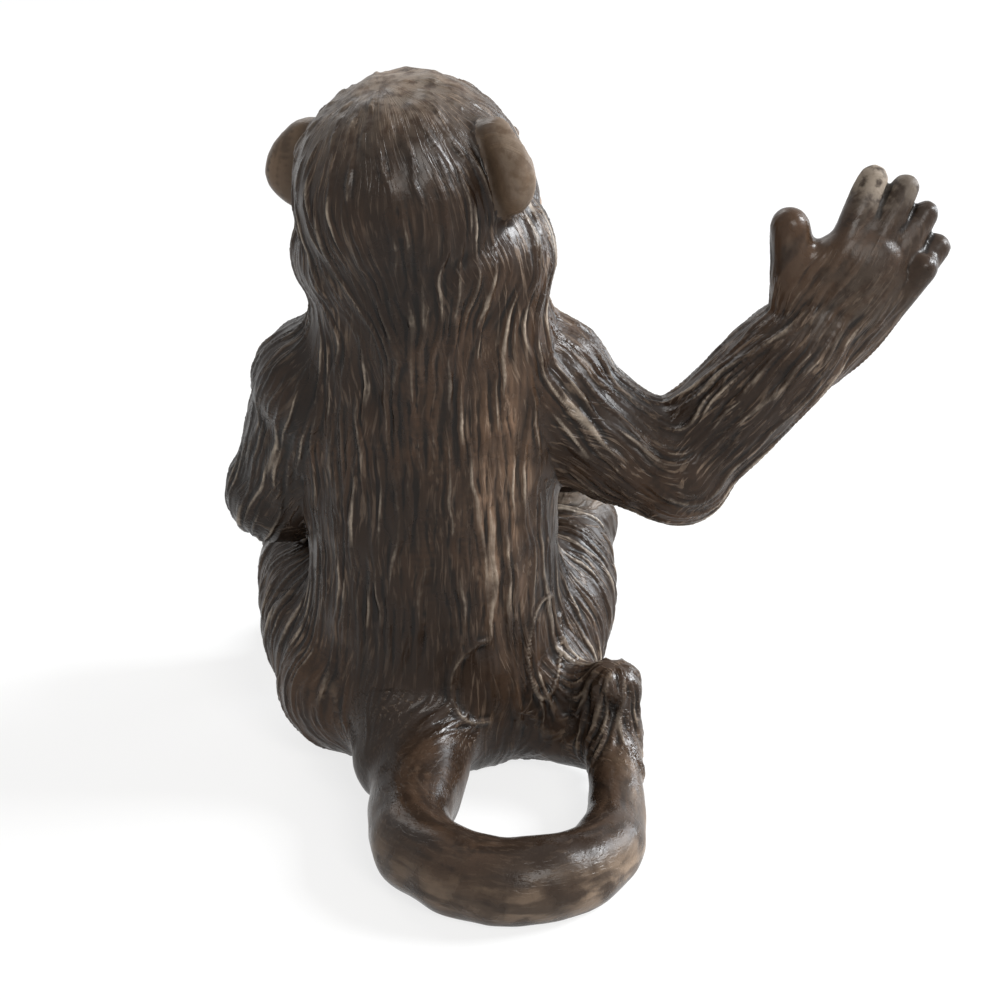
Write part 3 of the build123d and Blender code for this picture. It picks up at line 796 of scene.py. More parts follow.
# %% Streaks along the fur
STREAK_STEP = 0.55
STREAK_STEPS = 7
tree = KDTree(len(points))
for index, point in enumerate(points):
    tree.insert(point, index)
tree.balance()
ahead = np.array([tree.find(point)[1] for point in points + flow * STREAK_STEP])
behind = np.array([tree.find(point)[1] for point in points - flow * STREAK_STEP])
dice = np.random.default_rng(11)
tone = dice.random(len(points))
streak = tone.copy()
for step in (ahead, behind):
    at = np.arange(len(points))
    for _ in range(STREAK_STEPS):
        at = step[at]
        streak += tone[at]
streak = relax(streak, edges, 0.5, 1)
streak = np.clip(0.5 + (streak - streak.mean()) / (3.2 * streak.std()), 0, 1)
print("streaks:", np.percentile(streak, [5, 50, 95]).round(2))

# %% Hollows that hold dark paint, and painted shade
settled = relax(points, edges, 0.6, 60)
dark_wash_and_shade = ((settled - points) * normals).sum(1)
dark_wash_and_shade = np.clip(relax(dark_wash_and_shade, edges, 0.5, 4) / 0.5, -1, 1)
# painted shadow where the ears meet the head
ear_root_shadow = is_ear * (1 - ease(reach_to[:, head_number], 0.6, 2.6))
ear_root_shadow = np.maximum(ear_root_shadow, np.isin(partner, ears) * (1 - ease(second, 0.1, 1.0)))
on_hand = smooth * (on("right_arm") | on("left_arm"))
# painted shade all over the left ear, the left arm, the hands and the middle of the head
for where, depth in ((ear_root_shadow, 0.8), (on("left_ear"), 0.6), (on_hand, 0.62), (on("left_arm"), 0.75),
                     (on("head") * calm, 0.6)):
    dark_wash_and_shade = np.maximum(dark_wash_and_shade, depth * where)
dark_wash_and_shade = relax(dark_wash_and_shade, edges, 0.5, 6)
print("hollows:", np.percentile(dark_wash_and_shade, [2, 50, 98]).round(2))

# %% [markdown]
# ## Finer squares
#
# The fur ridges are under half a millimetre wide, so the skin needs squares of about a fifth of a
# millimetre. One level of subdivision halves them and keeps every value that is stored on the
# points. The owner of each square goes along as a number on the face.

# %% Store the values and subdivide
def store(mesh, name, values, kind="FLOAT", domain="POINT"):
    """Puts one value for each point or face on a mesh."""
    key = "vector" if kind == "FLOAT_VECTOR" else "value"
    layer = mesh.attributes.new(name, kind, domain)
    layer.data.foreach_set(key, np.ascontiguousarray(values).ravel())


def stored(mesh, name, width=1):
    """Reads such values back."""
    layer = mesh.attributes[name]
    table = np.empty(len(layer.data) * width, np.int32 if layer.data_type == "INT" else np.float32)
    layer.data.foreach_get("vector" if width == 3 else "value", table)
    return table.reshape(-1, 3) if width == 3 else table


clay.vertices.foreach_set("co", points.ravel())
clay.update()
for name, values in (("fur", fur), ("hair", hair), ("lock", lock), ("bare", bare), ("rubbed_and_sheen", rubbed_and_sheen),
                     ("pale", pale), ("streak", streak), ("dark_wash_and_shade", dark_wash_and_shade)):
    store(clay, name, values.astype(np.float32))
store(clay, "flow", flow.astype(np.float32), "FLOAT_VECTOR")
store(clay, "strand_map", strand_map.astype(np.float32), "FLOAT_VECTOR")
store(clay, "owner", owner.astype(np.int32), "INT", "FACE")
skin = with_modifier(clay, "SUBSURF", levels=1, render_levels=1)
print("skin:", len(skin.vertices), "points,", len(skin.polygons), "squares")

# %% [markdown]
# ## Fingers and toes
#
# Short fat fingers lie side by side, and what the eye reads is the crease between them. For every
# point near a hand, the two nearest finger bones are found. Where both are equally near, the point
# is in a crease, and it is pushed in. Toes are made in the same way.

# %% Carve between fingers and toes
skin_points, skin_squares = points_of(skin), corners_of(skin)
skin_normals = facing(skin_points, skin_squares)


TOE_ROW = (-2.5, -0.84, 0.84, 2.36)


def toe_bones(toes, side):
    """The root and tip of each toe; side is -1 for the right foot and 1 for the left."""
    rows = [(toes + np.array([across, 1.4, 0]), toes + np.array([across, -2.4, 0])) for across in TOE_ROW]
    inner = toes + np.array([-side * 2.9, 4.0, 0])
    rows.append((inner, inner + np.array([-side * 2.44, -2.9, 0])))
    return rows


CREASE_START, CREASE_WIDTH = 0.6, 0.42
FINGER_CREASE, TOE_CREASE = 0.25, 0.35


def between(where, bones):
    """How near each point is to its closest bone, and how much further the next bone is."""
    gaps = []
    for start, end in bones:
        bone = end - start
        share = np.clip(((where - start) @ bone) / (bone @ bone), CREASE_START, 1.0)
        gaps.append(np.linalg.norm(where - start - share[:, None] * bone, axis=1))
    gaps = np.sort(np.array(gaps), axis=0)
    return gaps[0], gaps[1] - gaps[0]


for bones, depth in ((right_fingers, FINGER_CREASE), (left_fingers, FINGER_CREASE),
                     (toe_bones(RIGHT_TOES, -1), TOE_CREASE), (toe_bones(LEFT_TOES, 1), TOE_CREASE)):
    close, spare = between(skin_points, bones)
    crease = bell(spare, 0, CREASE_WIDTH) * (1 - ease(close, 1.6, 2.4))
    skin_points = skin_points - (depth * crease)[:, None] * skin_normals
print("creases carved for", len(right_fingers) + len(left_fingers), "fingers and 10 toes")

# %% [markdown]
# The face can't be seen in the photograph, so it is a plain monkey's face: a bare mask with a heavy
# brow, deep eyes, a flat nose and a wide mouth. Each feature is a small dab of clay that is put on or
# taken off, worked out in the head's own directions, so it turns with the head.

# %% Carve the face
x, forward, z = ((skin_points - HEAD_MIDDLE) @ HEAD_AXES).T
EYE_SIDE, EYE_UP = 3.1, 0.3


def dab(side, up, wide, tall, height):
    """A soft dab of clay on both sides of the face, or a dent where the height is negative."""
    return height * np.exp(-(((np.abs(x) - side) / wide) ** 2) - ((z - up) / tall) ** 2)


face_mask = ease(-forward, 6.5, 9.0) * (1 - ease(np.abs(x), 7.0, 9.0))
face_mask *= 1 - ease(np.abs(z + 2.5), 7.0, 8.6)
# sockets, brow and bridge of the nose, then its tip, nostrils and cheeks
relief = dab(EYE_SIDE, EYE_UP, 1.9, 1.45, -1.05) + dab(2.6, 2.5, 2.6, 0.8, 0.6) + dab(0, -0.8, 0.8, 2.2, 0.5)
relief += dab(0, -3.0, 1.7, 0.9, 0.7) + dab(0.95, -3.55, 0.5, 0.36, -0.85) + dab(4.7, -2.4, 1.5, 1.5, 0.35)
from_eye = np.hypot(np.abs(x) - EYE_SIDE, (z - EYE_UP) * 1.35)
upper_lid = ease(z, EYE_UP - 0.4, EYE_UP + 0.8)
relief += 0.62 * bell(from_eye, 1.45, 0.38) * (0.6 + 0.4 * upper_lid)
relief -= 0.12 * bell(from_eye, 2.5, 0.4) * ease(EYE_UP - z, 0.4, 1.4)
mouth = -6.6 + 0.05 * x * x
in_mouth = 1 - ease(np.abs(x), 3.9, 4.9)
relief -= 0.62 * bell(z, mouth, 0.3) * in_mouth
relief += 0.26 * bell(np.abs(z - mouth), 0.8, 0.45) * in_mouth
fold = 1.9 + np.clip(-3.0 - z, 0, 4) * 0.8
relief -= 0.17 * bell(np.abs(x), fold, 0.42) * ease(-z, 2.6, 3.8) * (1 - ease(-z, 5.0, 6.6))
ahead_of_face = HEAD_AXES @ np.array([0.0, -1.0, 0.0])
skin_points = skin_points + (relief * face_mask)[:, None] * ahead_of_face
print("face relief from", round(float(relief.min()), 2), "to", round(float(relief.max()), 2), "mm")

# %% [markdown]
# Two marks show on the rump: a thin raised line like a C, and a loose lock like a long leaf. Each is
# a bent line that is laid on the skin from behind, and the clay is raised along it.

# %% Raise the two marks on the rump
MARK_WIDTH, HOOK_HEIGHT, LEAF_HEIGHT = 0.24, 0.24, 0.26


def raised_line(side, height, half_width, half_height, start, end):
    """Clay along part of an oval on the back, between two angles in degrees, clockwise from the top."""
    angles = np.radians(np.linspace(start, end, 60))
    line = np.column_stack([middle_x + side + half_width * np.sin(angles),
                            height + half_height * np.cos(angles)])
    near = np.full(len(skin_points), 9.0)
    on_rump = (skin_normals[:, 1] > 0.15) & (skin_points[:, 2] < 24) & (skin_points[:, 1] < middle_y + 14)
    close_by = np.nonzero(on_rump)[0]
    gaps = skin_points[close_by][:, None, [0, 2]] - line[None]
    near[close_by] = np.sqrt((gaps ** 2).sum(2).min(1))
    return bell(near, 0, MARK_WIDTH)


marks = HOOK_HEIGHT * raised_line(-5.5, 11.5, 3.9, 4.25, 5, 175)
marks += LEAF_HEIGHT * raised_line(-10.4, 13.4, 1.6, 4.6, -20, 290)
skin_points = skin_points + marks[:, None] * skin_normals
print("marks raised over", int((marks > 0.05).sum()), "points")

# %% [markdown]
# The raised tip of the tail is a tuft. Waves round its middle line cut upright grooves into it, and
# they fade out on its top.

# %% Cut grooves into the tuft
TUFT_GROOVES, GROOVE_DEPTH = 7, 0.16
from_tuft = (skin_points - TUFT_MIDDLE)[:, :2]
tuft_turn = np.arctan2(*from_tuft[:, ::-1].T)
tuft_rise = ease(skin_points[:, 2], 3.5, 7) * (1 - ease(np.linalg.norm(from_tuft, axis=1), 4, 5.5))
tuft_rise *= (skin_points[:, 2] < 14) * ease(middle_x - 12.5 - skin_points[:, 0], 0, 1.5)
tuft_rise *= 1 - ease(skin_normals[:, 2], 0.35, 0.75)
waves = np.cos(TUFT_GROOVES * tuft_turn + 1.6 * wobble(skin_points, 7, 24))
grooves = GROOVE_DEPTH * waves * tuft_rise
skin_points = skin_points + grooves[:, None] * skin_normals
print("grooves cut over", int((grooves < -0.05).sum()), "points")

# %% [markdown]
# Hand work is never quite even. A slow wobble over the whole skin, stronger on the smooth tail, makes
# the highlights break up as they do on the real figure. The crown is lumpier than the rest.

# %% Let the surface wobble
bare_tail = np.maximum(0, 1 - stored(skin, "fur") - stored(skin, "bare") * 3)
bump = 0.08 * wobble(skin_points, 8, 21) + 0.035 * wobble(skin_points, 3.2, 22)
bump += bare_tail * 0.05 * wobble(skin_points, 6, 23)
bump += 0.22 * bell(distance(skin_points, CROWN), 0, 7.0) * wobble(skin_points, 3.6, 25)
skin_points = skin_points + bump[:, None] * skin_normals
skin.vertices.foreach_set("co", skin_points.ravel())
skin.update()
print("wobble up to", round(float(np.abs(bump).max()), 2), "mm")

# %% [markdown]
# ## Combed fur with Geometry Nodes
#
# Hundreds of fur ridges follow the skin, and that is work for Geometry Nodes. Seeds are scattered
# over the furry skin. A repeat zone walks each seed along the fur in short steps and keeps a point
# at each step, so every seed leaves a trail that lies on the skin. The trails become thin tapered
# tubes. Every point of the skin then looks down from just above itself, and where it sees a tube it
# rises to meet it, so the ridges are part of the skin and not loose hairs. The tree is used twice,
# for fine hairs and then for the main locks.

# %% Start the tree
comb = bpy.data.node_groups.new("Combed fur", "GeometryNodeTree")
comb.interface.new_socket("Geometry", in_out="OUTPUT", socket_type="NodeSocketGeometry")
comb.interface.new_socket("Geometry", in_out="INPUT", socket_type="NodeSocketGeometry")
comb_inputs = {}
for name, kind in (("Spacing", "Float"), ("Length Share", "Float"), ("Steps", "Int"),
                   ("Ridge Width", "Float"), ("Ridge Height", "Float"), ("Waviness", "Float"),
                   ("Seed", "Int"), ("Material", "Material")):
    socket = comb.interface.new_socket(name, in_out="INPUT", socket_type="NodeSocket" + kind)
    comb_inputs[name] = socket.identifier
bench_in = comb.nodes.new("NodeGroupInput")
bench_out = comb.nodes.new("NodeGroupOutput")


def add(kind, inputs=(), **settings):
    """A node of this tree."""
    return add_node(comb, kind, inputs, **settings)


def shifted(vector, by):
    """Two vectors added."""
    return out(add("ShaderNodeVectorMath", (vector, by), operation="ADD"))


def scaled(vector, factor):
    """A vector made longer or shorter."""
    node = add("ShaderNodeVectorMath", (vector,), operation="SCALE")
    if isinstance(factor, bpy.types.NodeSocket):
        comb.links.new(factor, node.inputs["Scale"])
    else:
        node.inputs["Scale"].default_value = factor
    return out(node)


def named(geometry, name, value, kind="FLOAT"):
    """Geometry with a value stored on its points."""
    return out(add("GeometryNodeStoreNamedAttribute",
                   {"Geometry": geometry, "Name": name, "Value": value}, data_type=kind, domain="POINT"))


def maths(operation, *values):
    """One sum in the tree."""
    return out(add("ShaderNodeMath", values, operation=operation))


def field(name, kind):
    """A value that is stored on the mesh."""
    return out(add("GeometryNodeInputNamedAttribute", {"Name": name}, data_type=kind), "Attribute")


print("tree inputs:", list(comb_inputs))

# %% Scatter seeds
body = bench_in.outputs["Geometry"]
scatter = add("GeometryNodeDistributePointsOnFaces",
              {"Mesh": body, "Distance Min": bench_in.outputs["Spacing"], "Density Max": 2.0,
               "Density Factor": field("fur", "FLOAT"), "Seed": bench_in.outputs["Seed"]},
              distribute_method="POISSON")
numbered = named(scatter.outputs["Points"], "strand", out(add("GeometryNodeInputIndex")), "INT")
vigour = add("FunctionNodeRandomValue", {"Min": 0.55, "Max": 1.25, "Seed": 3}, data_type="FLOAT")
seeds = named(numbered, "vigour", out(vigour))
print("seeds are numbered and have a strength of their own")

# %% Walk each seed along the fur
walk_in = comb.nodes.new("GeometryNodeRepeatInput")
walk_out = comb.nodes.new("GeometryNodeRepeatOutput")
walk_in.pair_with_output(walk_out)
walk_out.repeat_items.clear()
walk_out.repeat_items.new("GEOMETRY", "Walkers")
walk_out.repeat_items.new("GEOMETRY", "Trail")
comb.links.new(bench_in.outputs["Steps"], walk_in.inputs["Iterations"])
comb.links.new(seeds, walk_in.inputs["Walkers"])

here = out(add("GeometryNodeInputPosition"))
combed = out(add("GeometryNodeSampleNearestSurface",
                 {"Mesh": body, "Value": field("flow", "FLOAT_VECTOR"), "Sample Position": here},
                 data_type="FLOAT_VECTOR"))
wander = add("ShaderNodeTexNoise", {"Vector": here, "Scale": 0.45, "Detail": 1.0})
centred = out(add("ShaderNodeVectorMath", (out(wander, "Color"), (0.5, 0.5, 0.5)), operation="SUBTRACT"))
swerve = scaled(centred, maths("MULTIPLY", bench_in.outputs["Waviness"], 2.0))
travel_length = maths("MULTIPLY", maths("MULTIPLY", field("lock", "FLOAT"), field("vigour", "FLOAT")),
                      bench_in.outputs["Length Share"])
stride = maths("DIVIDE", travel_length, bench_in.outputs["Steps"])
ahead_place = shifted(here, scaled(shifted(combed, swerve), stride))
foot = add("GeometryNodeProximity", {"Geometry": body, "Sample Position": ahead_place},
           target_element="FACES")
stepped = add("GeometryNodeSetPosition",
              {"Geometry": walk_in.outputs["Walkers"], "Position": out(foot, "Position")})
marked = named(out(stepped), "step", walk_in.outputs["Iteration"], "INT")
trail = comb.nodes.new("GeometryNodeJoinGeometry")
comb.links.new(marked, trail.inputs[0])
comb.links.new(walk_in.outputs["Trail"], trail.inputs[0])
comb.links.new(marked, walk_out.inputs["Walkers"])
comb.links.new(out(trail), walk_out.inputs["Trail"])
print("repeat zone ready")

# %% Turn the trails into ridges
LOOK_DOWN_FROM = 1.0
strands = add("GeometryNodePointsToCurves",
              {"Points": walk_out.outputs["Trail"], "Curve Group ID": field("strand", "INT"),
               "Weight": field("step", "INT")})
along = out(add("GeometryNodeSplineParameter"), "Factor")
arch = maths("SINE", maths("MULTIPLY", along, math.pi))
taper = maths("MULTIPLY", maths("POWER", arch, 0.8), field("vigour", "FLOAT"))
thickness = maths("MULTIPLY", taper, bench_in.outputs["Ridge Width"])
hoop = out(add("GeometryNodeCurvePrimitiveCircle", {"Resolution": 8, "Radius": 1.0}, mode="RADIUS"))
tubes = out(add("GeometryNodeCurveToMesh",
                {"Curve": out(strands), "Profile Curve": hoop, "Scale": thickness, "Fill Caps": True}))

surface = out(add("GeometryNodeInputNormal"))
above = shifted(out(add("GeometryNodeInputPosition")), scaled(surface, LOOK_DOWN_FROM))
look = add("GeometryNodeRaycast", {"Target Geometry": tubes, "Source Position": above,
                                   "Ray Direction": scaled(surface, -1.0), "Ray Length": LOOK_DOWN_FROM})
rise = maths("MULTIPLY", maths("SUBTRACT", LOOK_DOWN_FROM, out(look, "Hit Distance")), out(look, "Is Hit"))
share = maths("DIVIDE", rise, bench_in.outputs["Ridge Width"])
blurred = add("GeometryNodeBlurAttribute", {"Value": share, "Iterations": 1, "Weight": 1.0},
              data_type="FLOAT")
crested = named(body, "crest", maths("MULTIPLY", out(blurred), field("fur", "FLOAT")))
lift = scaled(surface, maths("MULTIPLY", field("crest", "FLOAT"), bench_in.outputs["Ridge Height"]))
raised = add("GeometryNodeSetPosition", {"Geometry": crested, "Offset": lift})
solid = add("GeometryNodeRealizeInstances", {"Geometry": out(raised)})
dressed = add("GeometryNodeSetMaterial", {"Geometry": out(solid), "Material": bench_in.outputs["Material"]})
comb.links.new(out(dressed), bench_out.inputs[0])
print("tree has", len(comb.nodes), "nodes")

# %% Comb the skin
def combed_mesh(mesh, **sizes):
    """A new plain mesh: the given one after the comb, with these sizes."""
    holder = bpy.data.objects.new("bench", mesh)
    modifier = holder.modifiers.new("comb", "NODES")
    modifier.node_group = comb
    for name, value in sizes.items():
        modifier[comb_inputs[name.replace("_", " ")]] = value
    bpy.context.scene.collection.objects.link(holder)
    ready = holder.evaluated_get(bpy.context.evaluated_depsgraph_get())
    made = bpy.data.meshes.new_from_object(ready)
    holder.modifiers.remove(modifier)
    bpy.data.objects.remove(holder)
    return made


FINE_SHARE = 0.45
fine_skin = combed_mesh(skin, Spacing=1.15, Length_Share=0.6, Steps=8, Ridge_Width=0.20,
                        Ridge_Height=0.10, Waviness=0.4, Seed=8)
fine_crest = stored(fine_skin, "crest")
combed_skin = combed_mesh(fine_skin, Spacing=1.75, Length_Share=1.0, Steps=18, Ridge_Width=0.22,
                          Ridge_Height=0.27, Waviness=0.55, Seed=5)
crest = np.maximum(stored(combed_skin, "crest"), FINE_SHARE * fine_crest)
crest = np.maximum(crest, np.maximum(marks / LEAF_HEIGHT, grooves / 0.24))
print("combed:", len(combed_skin.vertices), "points; on a ridge:", round(float((crest > 0.4).mean()), 3))

# %% [markdown]
# The dark wash also lies between the ridges. A point that sits lower than the skin round it, within
# about half a millimetre, is in a pit, and one that sits higher is on an edge.

# %% Find the pits between ridges
skin_squares = corners_of(combed_skin)
skin_points = points_of(combed_skin)
skin_edges = edges_of(combed_skin)
PIT_DEPTH = 0.07
flattened = relax(skin_points, skin_edges, 0.6, 12)
pit = ((flattened - skin_points) * facing(skin_points, skin_squares)).sum(1) / PIT_DEPTH
pit = np.clip(relax(pit, skin_edges, 0.5, 1), -1, 1)
print("pits:", np.percentile(pit, [2, 50, 98]).round(2))

# %% [markdown]
# ## Paint
#
# All the pieces share one way of painting: a base brown that varies slowly, streaks and fine hairs
# along the fur, rubbed spots that are wear on the tail and painted sheen on the back, pale spots that
# are dry paint on the fingers and painted highlights on the crown and the right ear, a dark wash in the
# hollows that is also painted shade, and a dry brush of grey tan that only touches the ridges. The
# values on the mesh say where. Pale paint is dry, so it shines less. Only the colours differ from one
# finish to the next.

# %% Mix the paints
def srgb(red, green, blue):
    """A paint colour as a colour picker shows it, made linear for the shader."""
    channels = [v / 255 for v in (red, green, blue)]
    return tuple(v / 12.92 if v <= 0.04045 else ((v + 0.055) / 1.055) ** 2.4 for v in channels) + (1.0,)


PALE_WEAR_AND_HIGHLIGHT_PAINT = srgb(172, 158, 142)


def painted_vinyl(name, base, warm, wash_and_shade_colour, brushed, worn_and_sheen, hairs, brush_amount, gloss):
    """Semi-gloss painted vinyl whose dark paint, painted shade, painted sheen and highlights, streaks and dry
    brush follow the values on the mesh.
    """
    paint, tree = new_paint(name)
    shader = tree.nodes["Principled BSDF"]

    def value_on_mesh(layer):
        return out(add_node(tree, "ShaderNodeAttribute", attribute_name=layer), "Fac")

    def ranged(source, *limits):
        return smooth_range(tree, source, *limits)

    def product(first, second):
        return out(add_node(tree, "ShaderNodeMath", (first, second), operation="MULTIPLY"))

    def total(first, second):
        return out(add_node(tree, "ShaderNodeMath", (first, second), operation="ADD"))

    def cloud(size, detail, spot=None):
        return out(add_node(tree, "ShaderNodeTexNoise",
                            {"Vector": spot or where, "Scale": size, "Detail": detail}), "Fac")

    def layered(under, colour, share):
        mix = add_node(tree, "ShaderNodeMix", data_type="RGBA")
        tree.links.new(share, mix.inputs[0])
        for socket, value in ((mix.inputs[6], under), (mix.inputs[7], colour)):
            if isinstance(value, bpy.types.NodeSocket):
                tree.links.new(value, socket)
            else:
                socket.default_value = value
        return mix.outputs[2]

    where = out(add_node(tree, "ShaderNodeTexCoord"), "Object")
    crest_value, streak_value = value_on_mesh("crest"), value_on_mesh("streak")
    dark_wash_and_shade_value, bare_value = value_on_mesh("dark_wash_and_shade"), value_on_mesh("bare")
    pit_value, rubbed_and_sheen_value = value_on_mesh("pit"), value_on_mesh("rubbed_and_sheen")
    broad, patchy, specks, grain = cloud(75, 2), cloud(330, 3), cloud(1050, 4), cloud(2600, 2)
    along_fur = out(add_node(tree, "ShaderNodeAttribute", attribute_name="strand_map"), "Vector")
    hair_line = product(ranged(cloud(3.0, 2, along_fur), 0.52, 0.67), value_on_mesh("hair"))
    scuffs = product(ranged(cloud(0.8, 3, along_fur), 0.42, 0.60, 0.3, 1.0),
                     ranged(patchy, 0.38, 0.60, 0.3, 1.0))
    colour = layered(base, warm, product(ranged(broad, 0.35, 0.68), ranged(streak_value, 0.15, 0.85)))
    # rubbed wear on the tail, and painted sheen and highlights elsewhere
    colour = layered(colour, worn_and_sheen, product(rubbed_and_sheen_value, scuffs))
    colour = layered(colour, hairs, product(hair_line, ranged(patchy, 0.35, 0.65, 0.12, 0.55)))
    colour = layered(colour, worn_and_sheen, product(bare_value, ranged(patchy, 0.42, 0.66, 0.55, 1.0)))
    # pale dry paint, and painted highlights on the crown and the right ear
    colour = layered(colour, PALE_WEAR_AND_HIGHLIGHT_PAINT, product(value_on_mesh("pale"), ranged(specks, 0.36, 0.58, 0.1, 1.0)))
    # dark wash that is also painted shade in the hollows, then the wash between the ridges
    colour = layered(colour, wash_and_shade_colour, ranged(dark_wash_and_shade_value, 0.25, 1.0, 0.0, 0.7))
    colour = layered(colour, wash_and_shade_colour, ranged(pit_value, 0.05, 0.8, 0.0, 0.8))
    brush_marks = product(ranged(crest_value, 0.52, 1.0), ranged(patchy, 0.36, 0.62, 0.15, 1.0))
    bristles = ranged(grain, 0.2, 0.7, brush_amount * 0.6, brush_amount)
    colour = layered(colour, brushed, product(brush_marks, bristles))
    tree.links.new(colour, shader.inputs["Base Color"])
    sheen = ranged(patchy, 0.3, 0.7, gloss - 0.06, gloss + 0.10)
    dull = product(value_on_mesh("pale"), 0.5)
    tree.links.new(total(sheen, dull), shader.inputs["Roughness"])
    shader.inputs["Specular IOR Level"].default_value = 0.2
    relief = total(product(hair_line, 0.9), product(grain, 0.35))
    bump = add_node(tree, "ShaderNodeBump", {"Strength": 0.6, "Distance": 0.00012, "Height": relief})
    tree.links.new(out(bump), shader.inputs["Normal"])
    return paint


FUR_PAINT = painted_vinyl("brown fur paint", srgb(37, 26, 18), srgb(61, 44, 31), srgb(13, 10, 8),
                          srgb(160, 147, 132), srgb(124, 98, 78), srgb(118, 101, 86), 0.8, 0.30)
EAR_PAINT = painted_vinyl("bare ear paint", srgb(78, 63, 50), srgb(122, 101, 82), srgb(36, 29, 23),
                          srgb(180, 160, 136), srgb(136, 115, 94), srgb(136, 115, 94), 0.5, 0.36)
TAIL_PAINT = painted_vinyl("tail paint", srgb(38, 28, 21), srgb(62, 47, 36), srgb(13, 10, 8),
                           srgb(150, 136, 120), srgb(122, 104, 87), srgb(108, 91, 76), 0.6, 0.28)
print("paints:", FUR_PAINT.name, EAR_PAINT.name, TAIL_PAINT.name)

# %% [markdown]
# ## Back to nine pieces
#
# The skin is cut along the owners' borders. Each piece keeps its own squares, and each open border is
# closed with a fan of triangles to a point in the middle of the hole, inside the figure, so every
# piece is a closed solid. The edge of a fan is sharp, so that it doesn't bend the shading outside.

# %% Tidy the borders
def smooth_owners(squares, labels, rounds):
    """Owners after each square has taken the view of most of its neighbours."""
    point_count = squares.max() + 1
    for _ in range(rounds):
        votes = np.zeros((point_count, len(PIECES)))
        for corner in range(4):
            np.add.at(votes, (squares[:, corner], labels), 1)
        labels = votes[squares].sum(1).argmax(1)
    return labels


OWNER_ROUNDS, EAR_PIT_SHARE = 8, 0.3
skin_points[:, 2] = np.maximum(skin_points[:, 2], 0)
skin_normals = facing(skin_points, skin_squares)
skin_owner = smooth_owners(skin_squares, stored(combed_skin, "owner"), OWNER_ROUNDS)
layers = {name: stored(combed_skin, name) for name in ("hair", "streak", "dark_wash_and_shade", "bare", "rubbed_and_sheen", "pale")}
strand_places = stored(combed_skin, "strand_map", 3)
layers["crest"] = np.maximum(crest * (0.65 + 0.35 * layers["hair"]), marks / 0.3).astype(np.float32)
pit[np.unique(skin_squares[np.isin(skin_owner, ears)])] *= EAR_PIT_SHARE
layers["pit"] = pit.astype(np.float32)
print("borders smoothed on", len(skin_squares), "squares")

# %% Cut out and close each piece
SLOTS = {"right_ear": "bare_skin", "left_ear": "bare_skin", "tail": "tail_skin"}
PAINTS = {"bare_skin": EAR_PAINT, "tail_skin": TAIL_PAINT, "fur": FUR_PAINT}


def shade_as_one(mesh, outward):
    """Gives the skin the directions that it had before it was cut, so that no seam shows."""
    corner_points = table_of(mesh.loops, "vertex_index", 1, np.int32).ravel()
    starts = table_of(mesh.polygons, "loop_start", 1, np.int32).ravel()
    flat = table_of(mesh.polygons, "normal", 3)
    on_cap = np.maximum.reduceat(corner_points, starts) >= len(outward)
    face_of = np.repeat(np.arange(len(starts)), np.diff(np.append(starts, len(corner_points))))
    shown = np.where(on_cap[face_of][:, None], flat[face_of],
                     outward[np.minimum(corner_points, len(outward) - 1)])
    mesh.normals_split_custom_set(shown.tolist())


def cut_piece(name):
    """The closed piece of skin that stands for one CAD piece, in metres."""
    mine = skin_squares[skin_owner == PIECES.index(name)]
    used, faces = np.unique(mine, return_inverse=True)
    mesh = plain_mesh(name + "_skin", skin_points[used] / BENCH, faces.reshape(-1, 4))
    for layer, values in layers.items():
        store(mesh, layer, values[used])
    store(mesh, "strand_map", strand_places[used], "FLOAT_VECTOR")
    work = bmesh.new()
    work.from_mesh(mesh)
    for face in work.faces:
        face.smooth = True
    rims = [edge for edge in work.edges if edge.is_boundary]
    capped = bmesh.ops.holes_fill(work, edges=rims, sides=0)["faces"]
    for edge in rims:
        edge.smooth = False
    bmesh.ops.poke(work, faces=capped)
    bmesh.ops.recalc_face_normals(work, faces=work.faces)
    open_left = sum(1 for edge in work.edges if not edge.is_manifold)
    work.to_mesh(mesh)
    work.free()
    shade_as_one(mesh, skin_normals[used])
    piece = bpy.data.objects.new(name + "_skin", mesh)
    bpy.context.scene.collection.objects.link(piece)
    print(piece.name, len(mesh.polygons), "faces, holes closed:", len(capped), "open edges:", open_left)
    return piece


for name in PIECES:
    piece = cut_piece(name)
    slot = SLOTS.get(name, "fur")
    piece.data.materials.append(PAINTS[slot])
    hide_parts(name)
    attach(piece, "root")

# %% [markdown]
# ## Eyes
#
# Each eye is a glossy ball that sits in its socket, with a slight bulge in front. How far each point
# is turned away from the line of sight is stored on the ball, and the paint reads it: a black pupil,
# a brown iris with a darker edge, and dark skin at the corners.

# %% Make the eyes
EYE_RADIUS, EYE_FORWARD, EYE_SWELL = 1.2, -11.7, 0.07
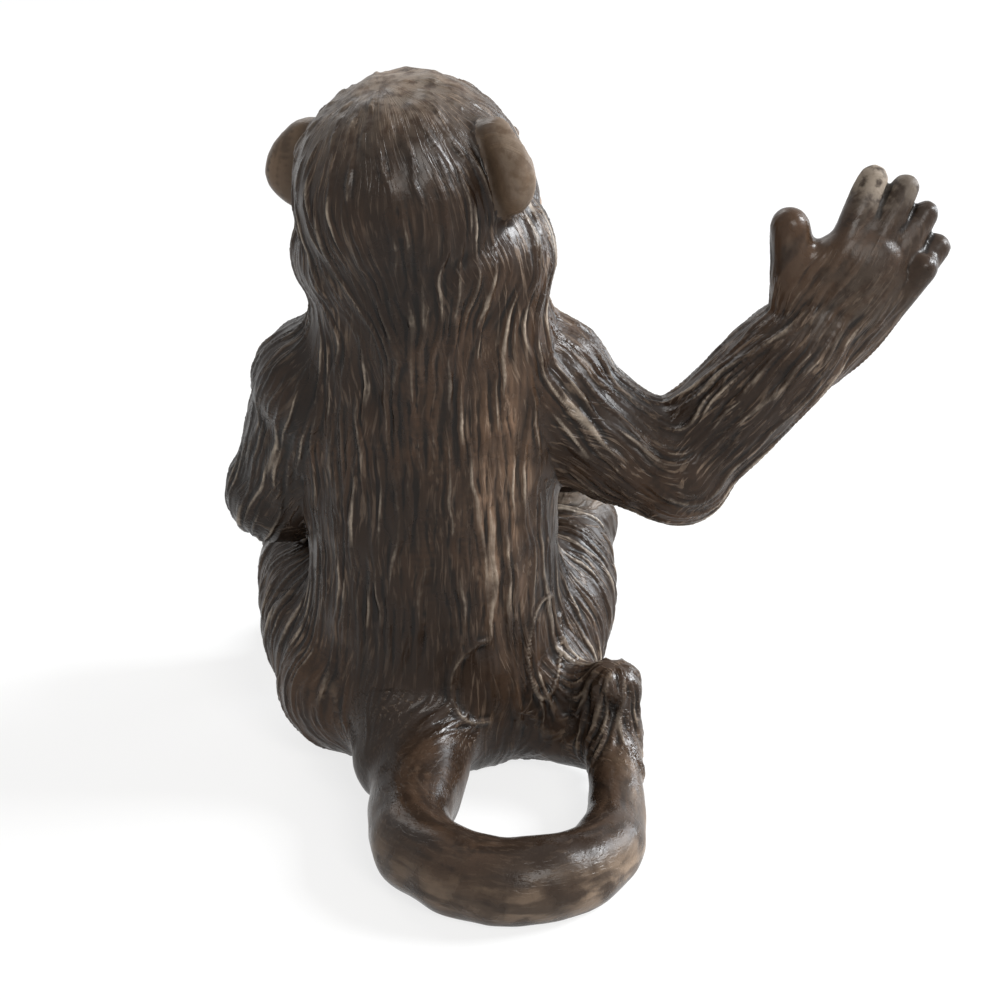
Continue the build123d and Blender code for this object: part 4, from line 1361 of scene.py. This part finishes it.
# from the line of sight outwards: pupil, its edge, iris, its darker edge, rim and skin
EYE_RINGS = ((0.0, srgb(8, 7, 6)), (0.26, srgb(10, 8, 7)), (0.34, srgb(66, 38, 18)),
             (0.56, srgb(44, 26, 14)), (0.64, srgb(14, 10, 8)), (0.72, srgb(34, 26, 21)))


def eye_paint():
    """Glossy eye enamel with rings that follow the line of sight."""
    paint, tree = new_paint("eye enamel")
    shader = tree.nodes["Principled BSDF"]
    turn = add_node(tree, "ShaderNodeAttribute", attribute_name="turn")
    rings = add_node(tree, "ShaderNodeValToRGB", (out(turn, "Fac"),))
    rings.color_ramp.interpolation = "EASE"
    for spot, colour in EYE_RINGS:
        stop = rings.color_ramp.elements[0] if spot == 0.0 else rings.color_ramp.elements.new(spot)
        stop.position, stop.color = spot, colour
    rings.color_ramp.elements.remove(rings.color_ramp.elements[-1])
    tree.links.new(out(rings, "Color"), shader.inputs["Base Color"])
    shader.inputs["Roughness"].default_value = 0.12
    shader.inputs["Coat Weight"].default_value = 0.2
    shader.inputs["Coat Roughness"].default_value = 0.05
    return paint


def make_eye(name, side, paint):
    """One eyeball in its place in the head."""
    ball = bmesh.new()
    bmesh.ops.create_uvsphere(ball, u_segments=40, v_segments=28, radius=EYE_RADIUS)
    turns = []
    centre = HEAD_MIDDLE + HEAD_AXES @ np.array([side * EYE_SIDE, EYE_FORWARD, EYE_UP])
    for point in ball.verts:
        turn = math.acos(max(-1.0, min(1.0, point.co.z / EYE_RADIUS))) / (math.pi / 2)
        swell = 1 + EYE_SWELL * math.exp(-((turn / 0.5) ** 2))
        seen = HEAD_AXES @ np.array([point.co.x, -point.co.z, point.co.y]) * swell
        point.co = Vector((centre + seen) / BENCH)
        turns.append(turn)
    for face in ball.faces:
        face.smooth = True
    bmesh.ops.recalc_face_normals(ball, faces=ball.faces)
    mesh = bpy.data.meshes.new(name)
    ball.to_mesh(mesh)
    ball.free()
    store(mesh, "turn", np.array(turns, np.float32))
    mesh.materials.append(paint)
    eye = bpy.data.objects.new(name, mesh)
    bpy.context.scene.collection.objects.link(eye)
    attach(eye, "root")
    return eye


enamel = eye_paint()
for name, side in (("right_eye", -1), ("left_eye", 1)):
    eye = make_eye(name, side, enamel)
    print(eye.name, len(eye.data.polygons), "faces")
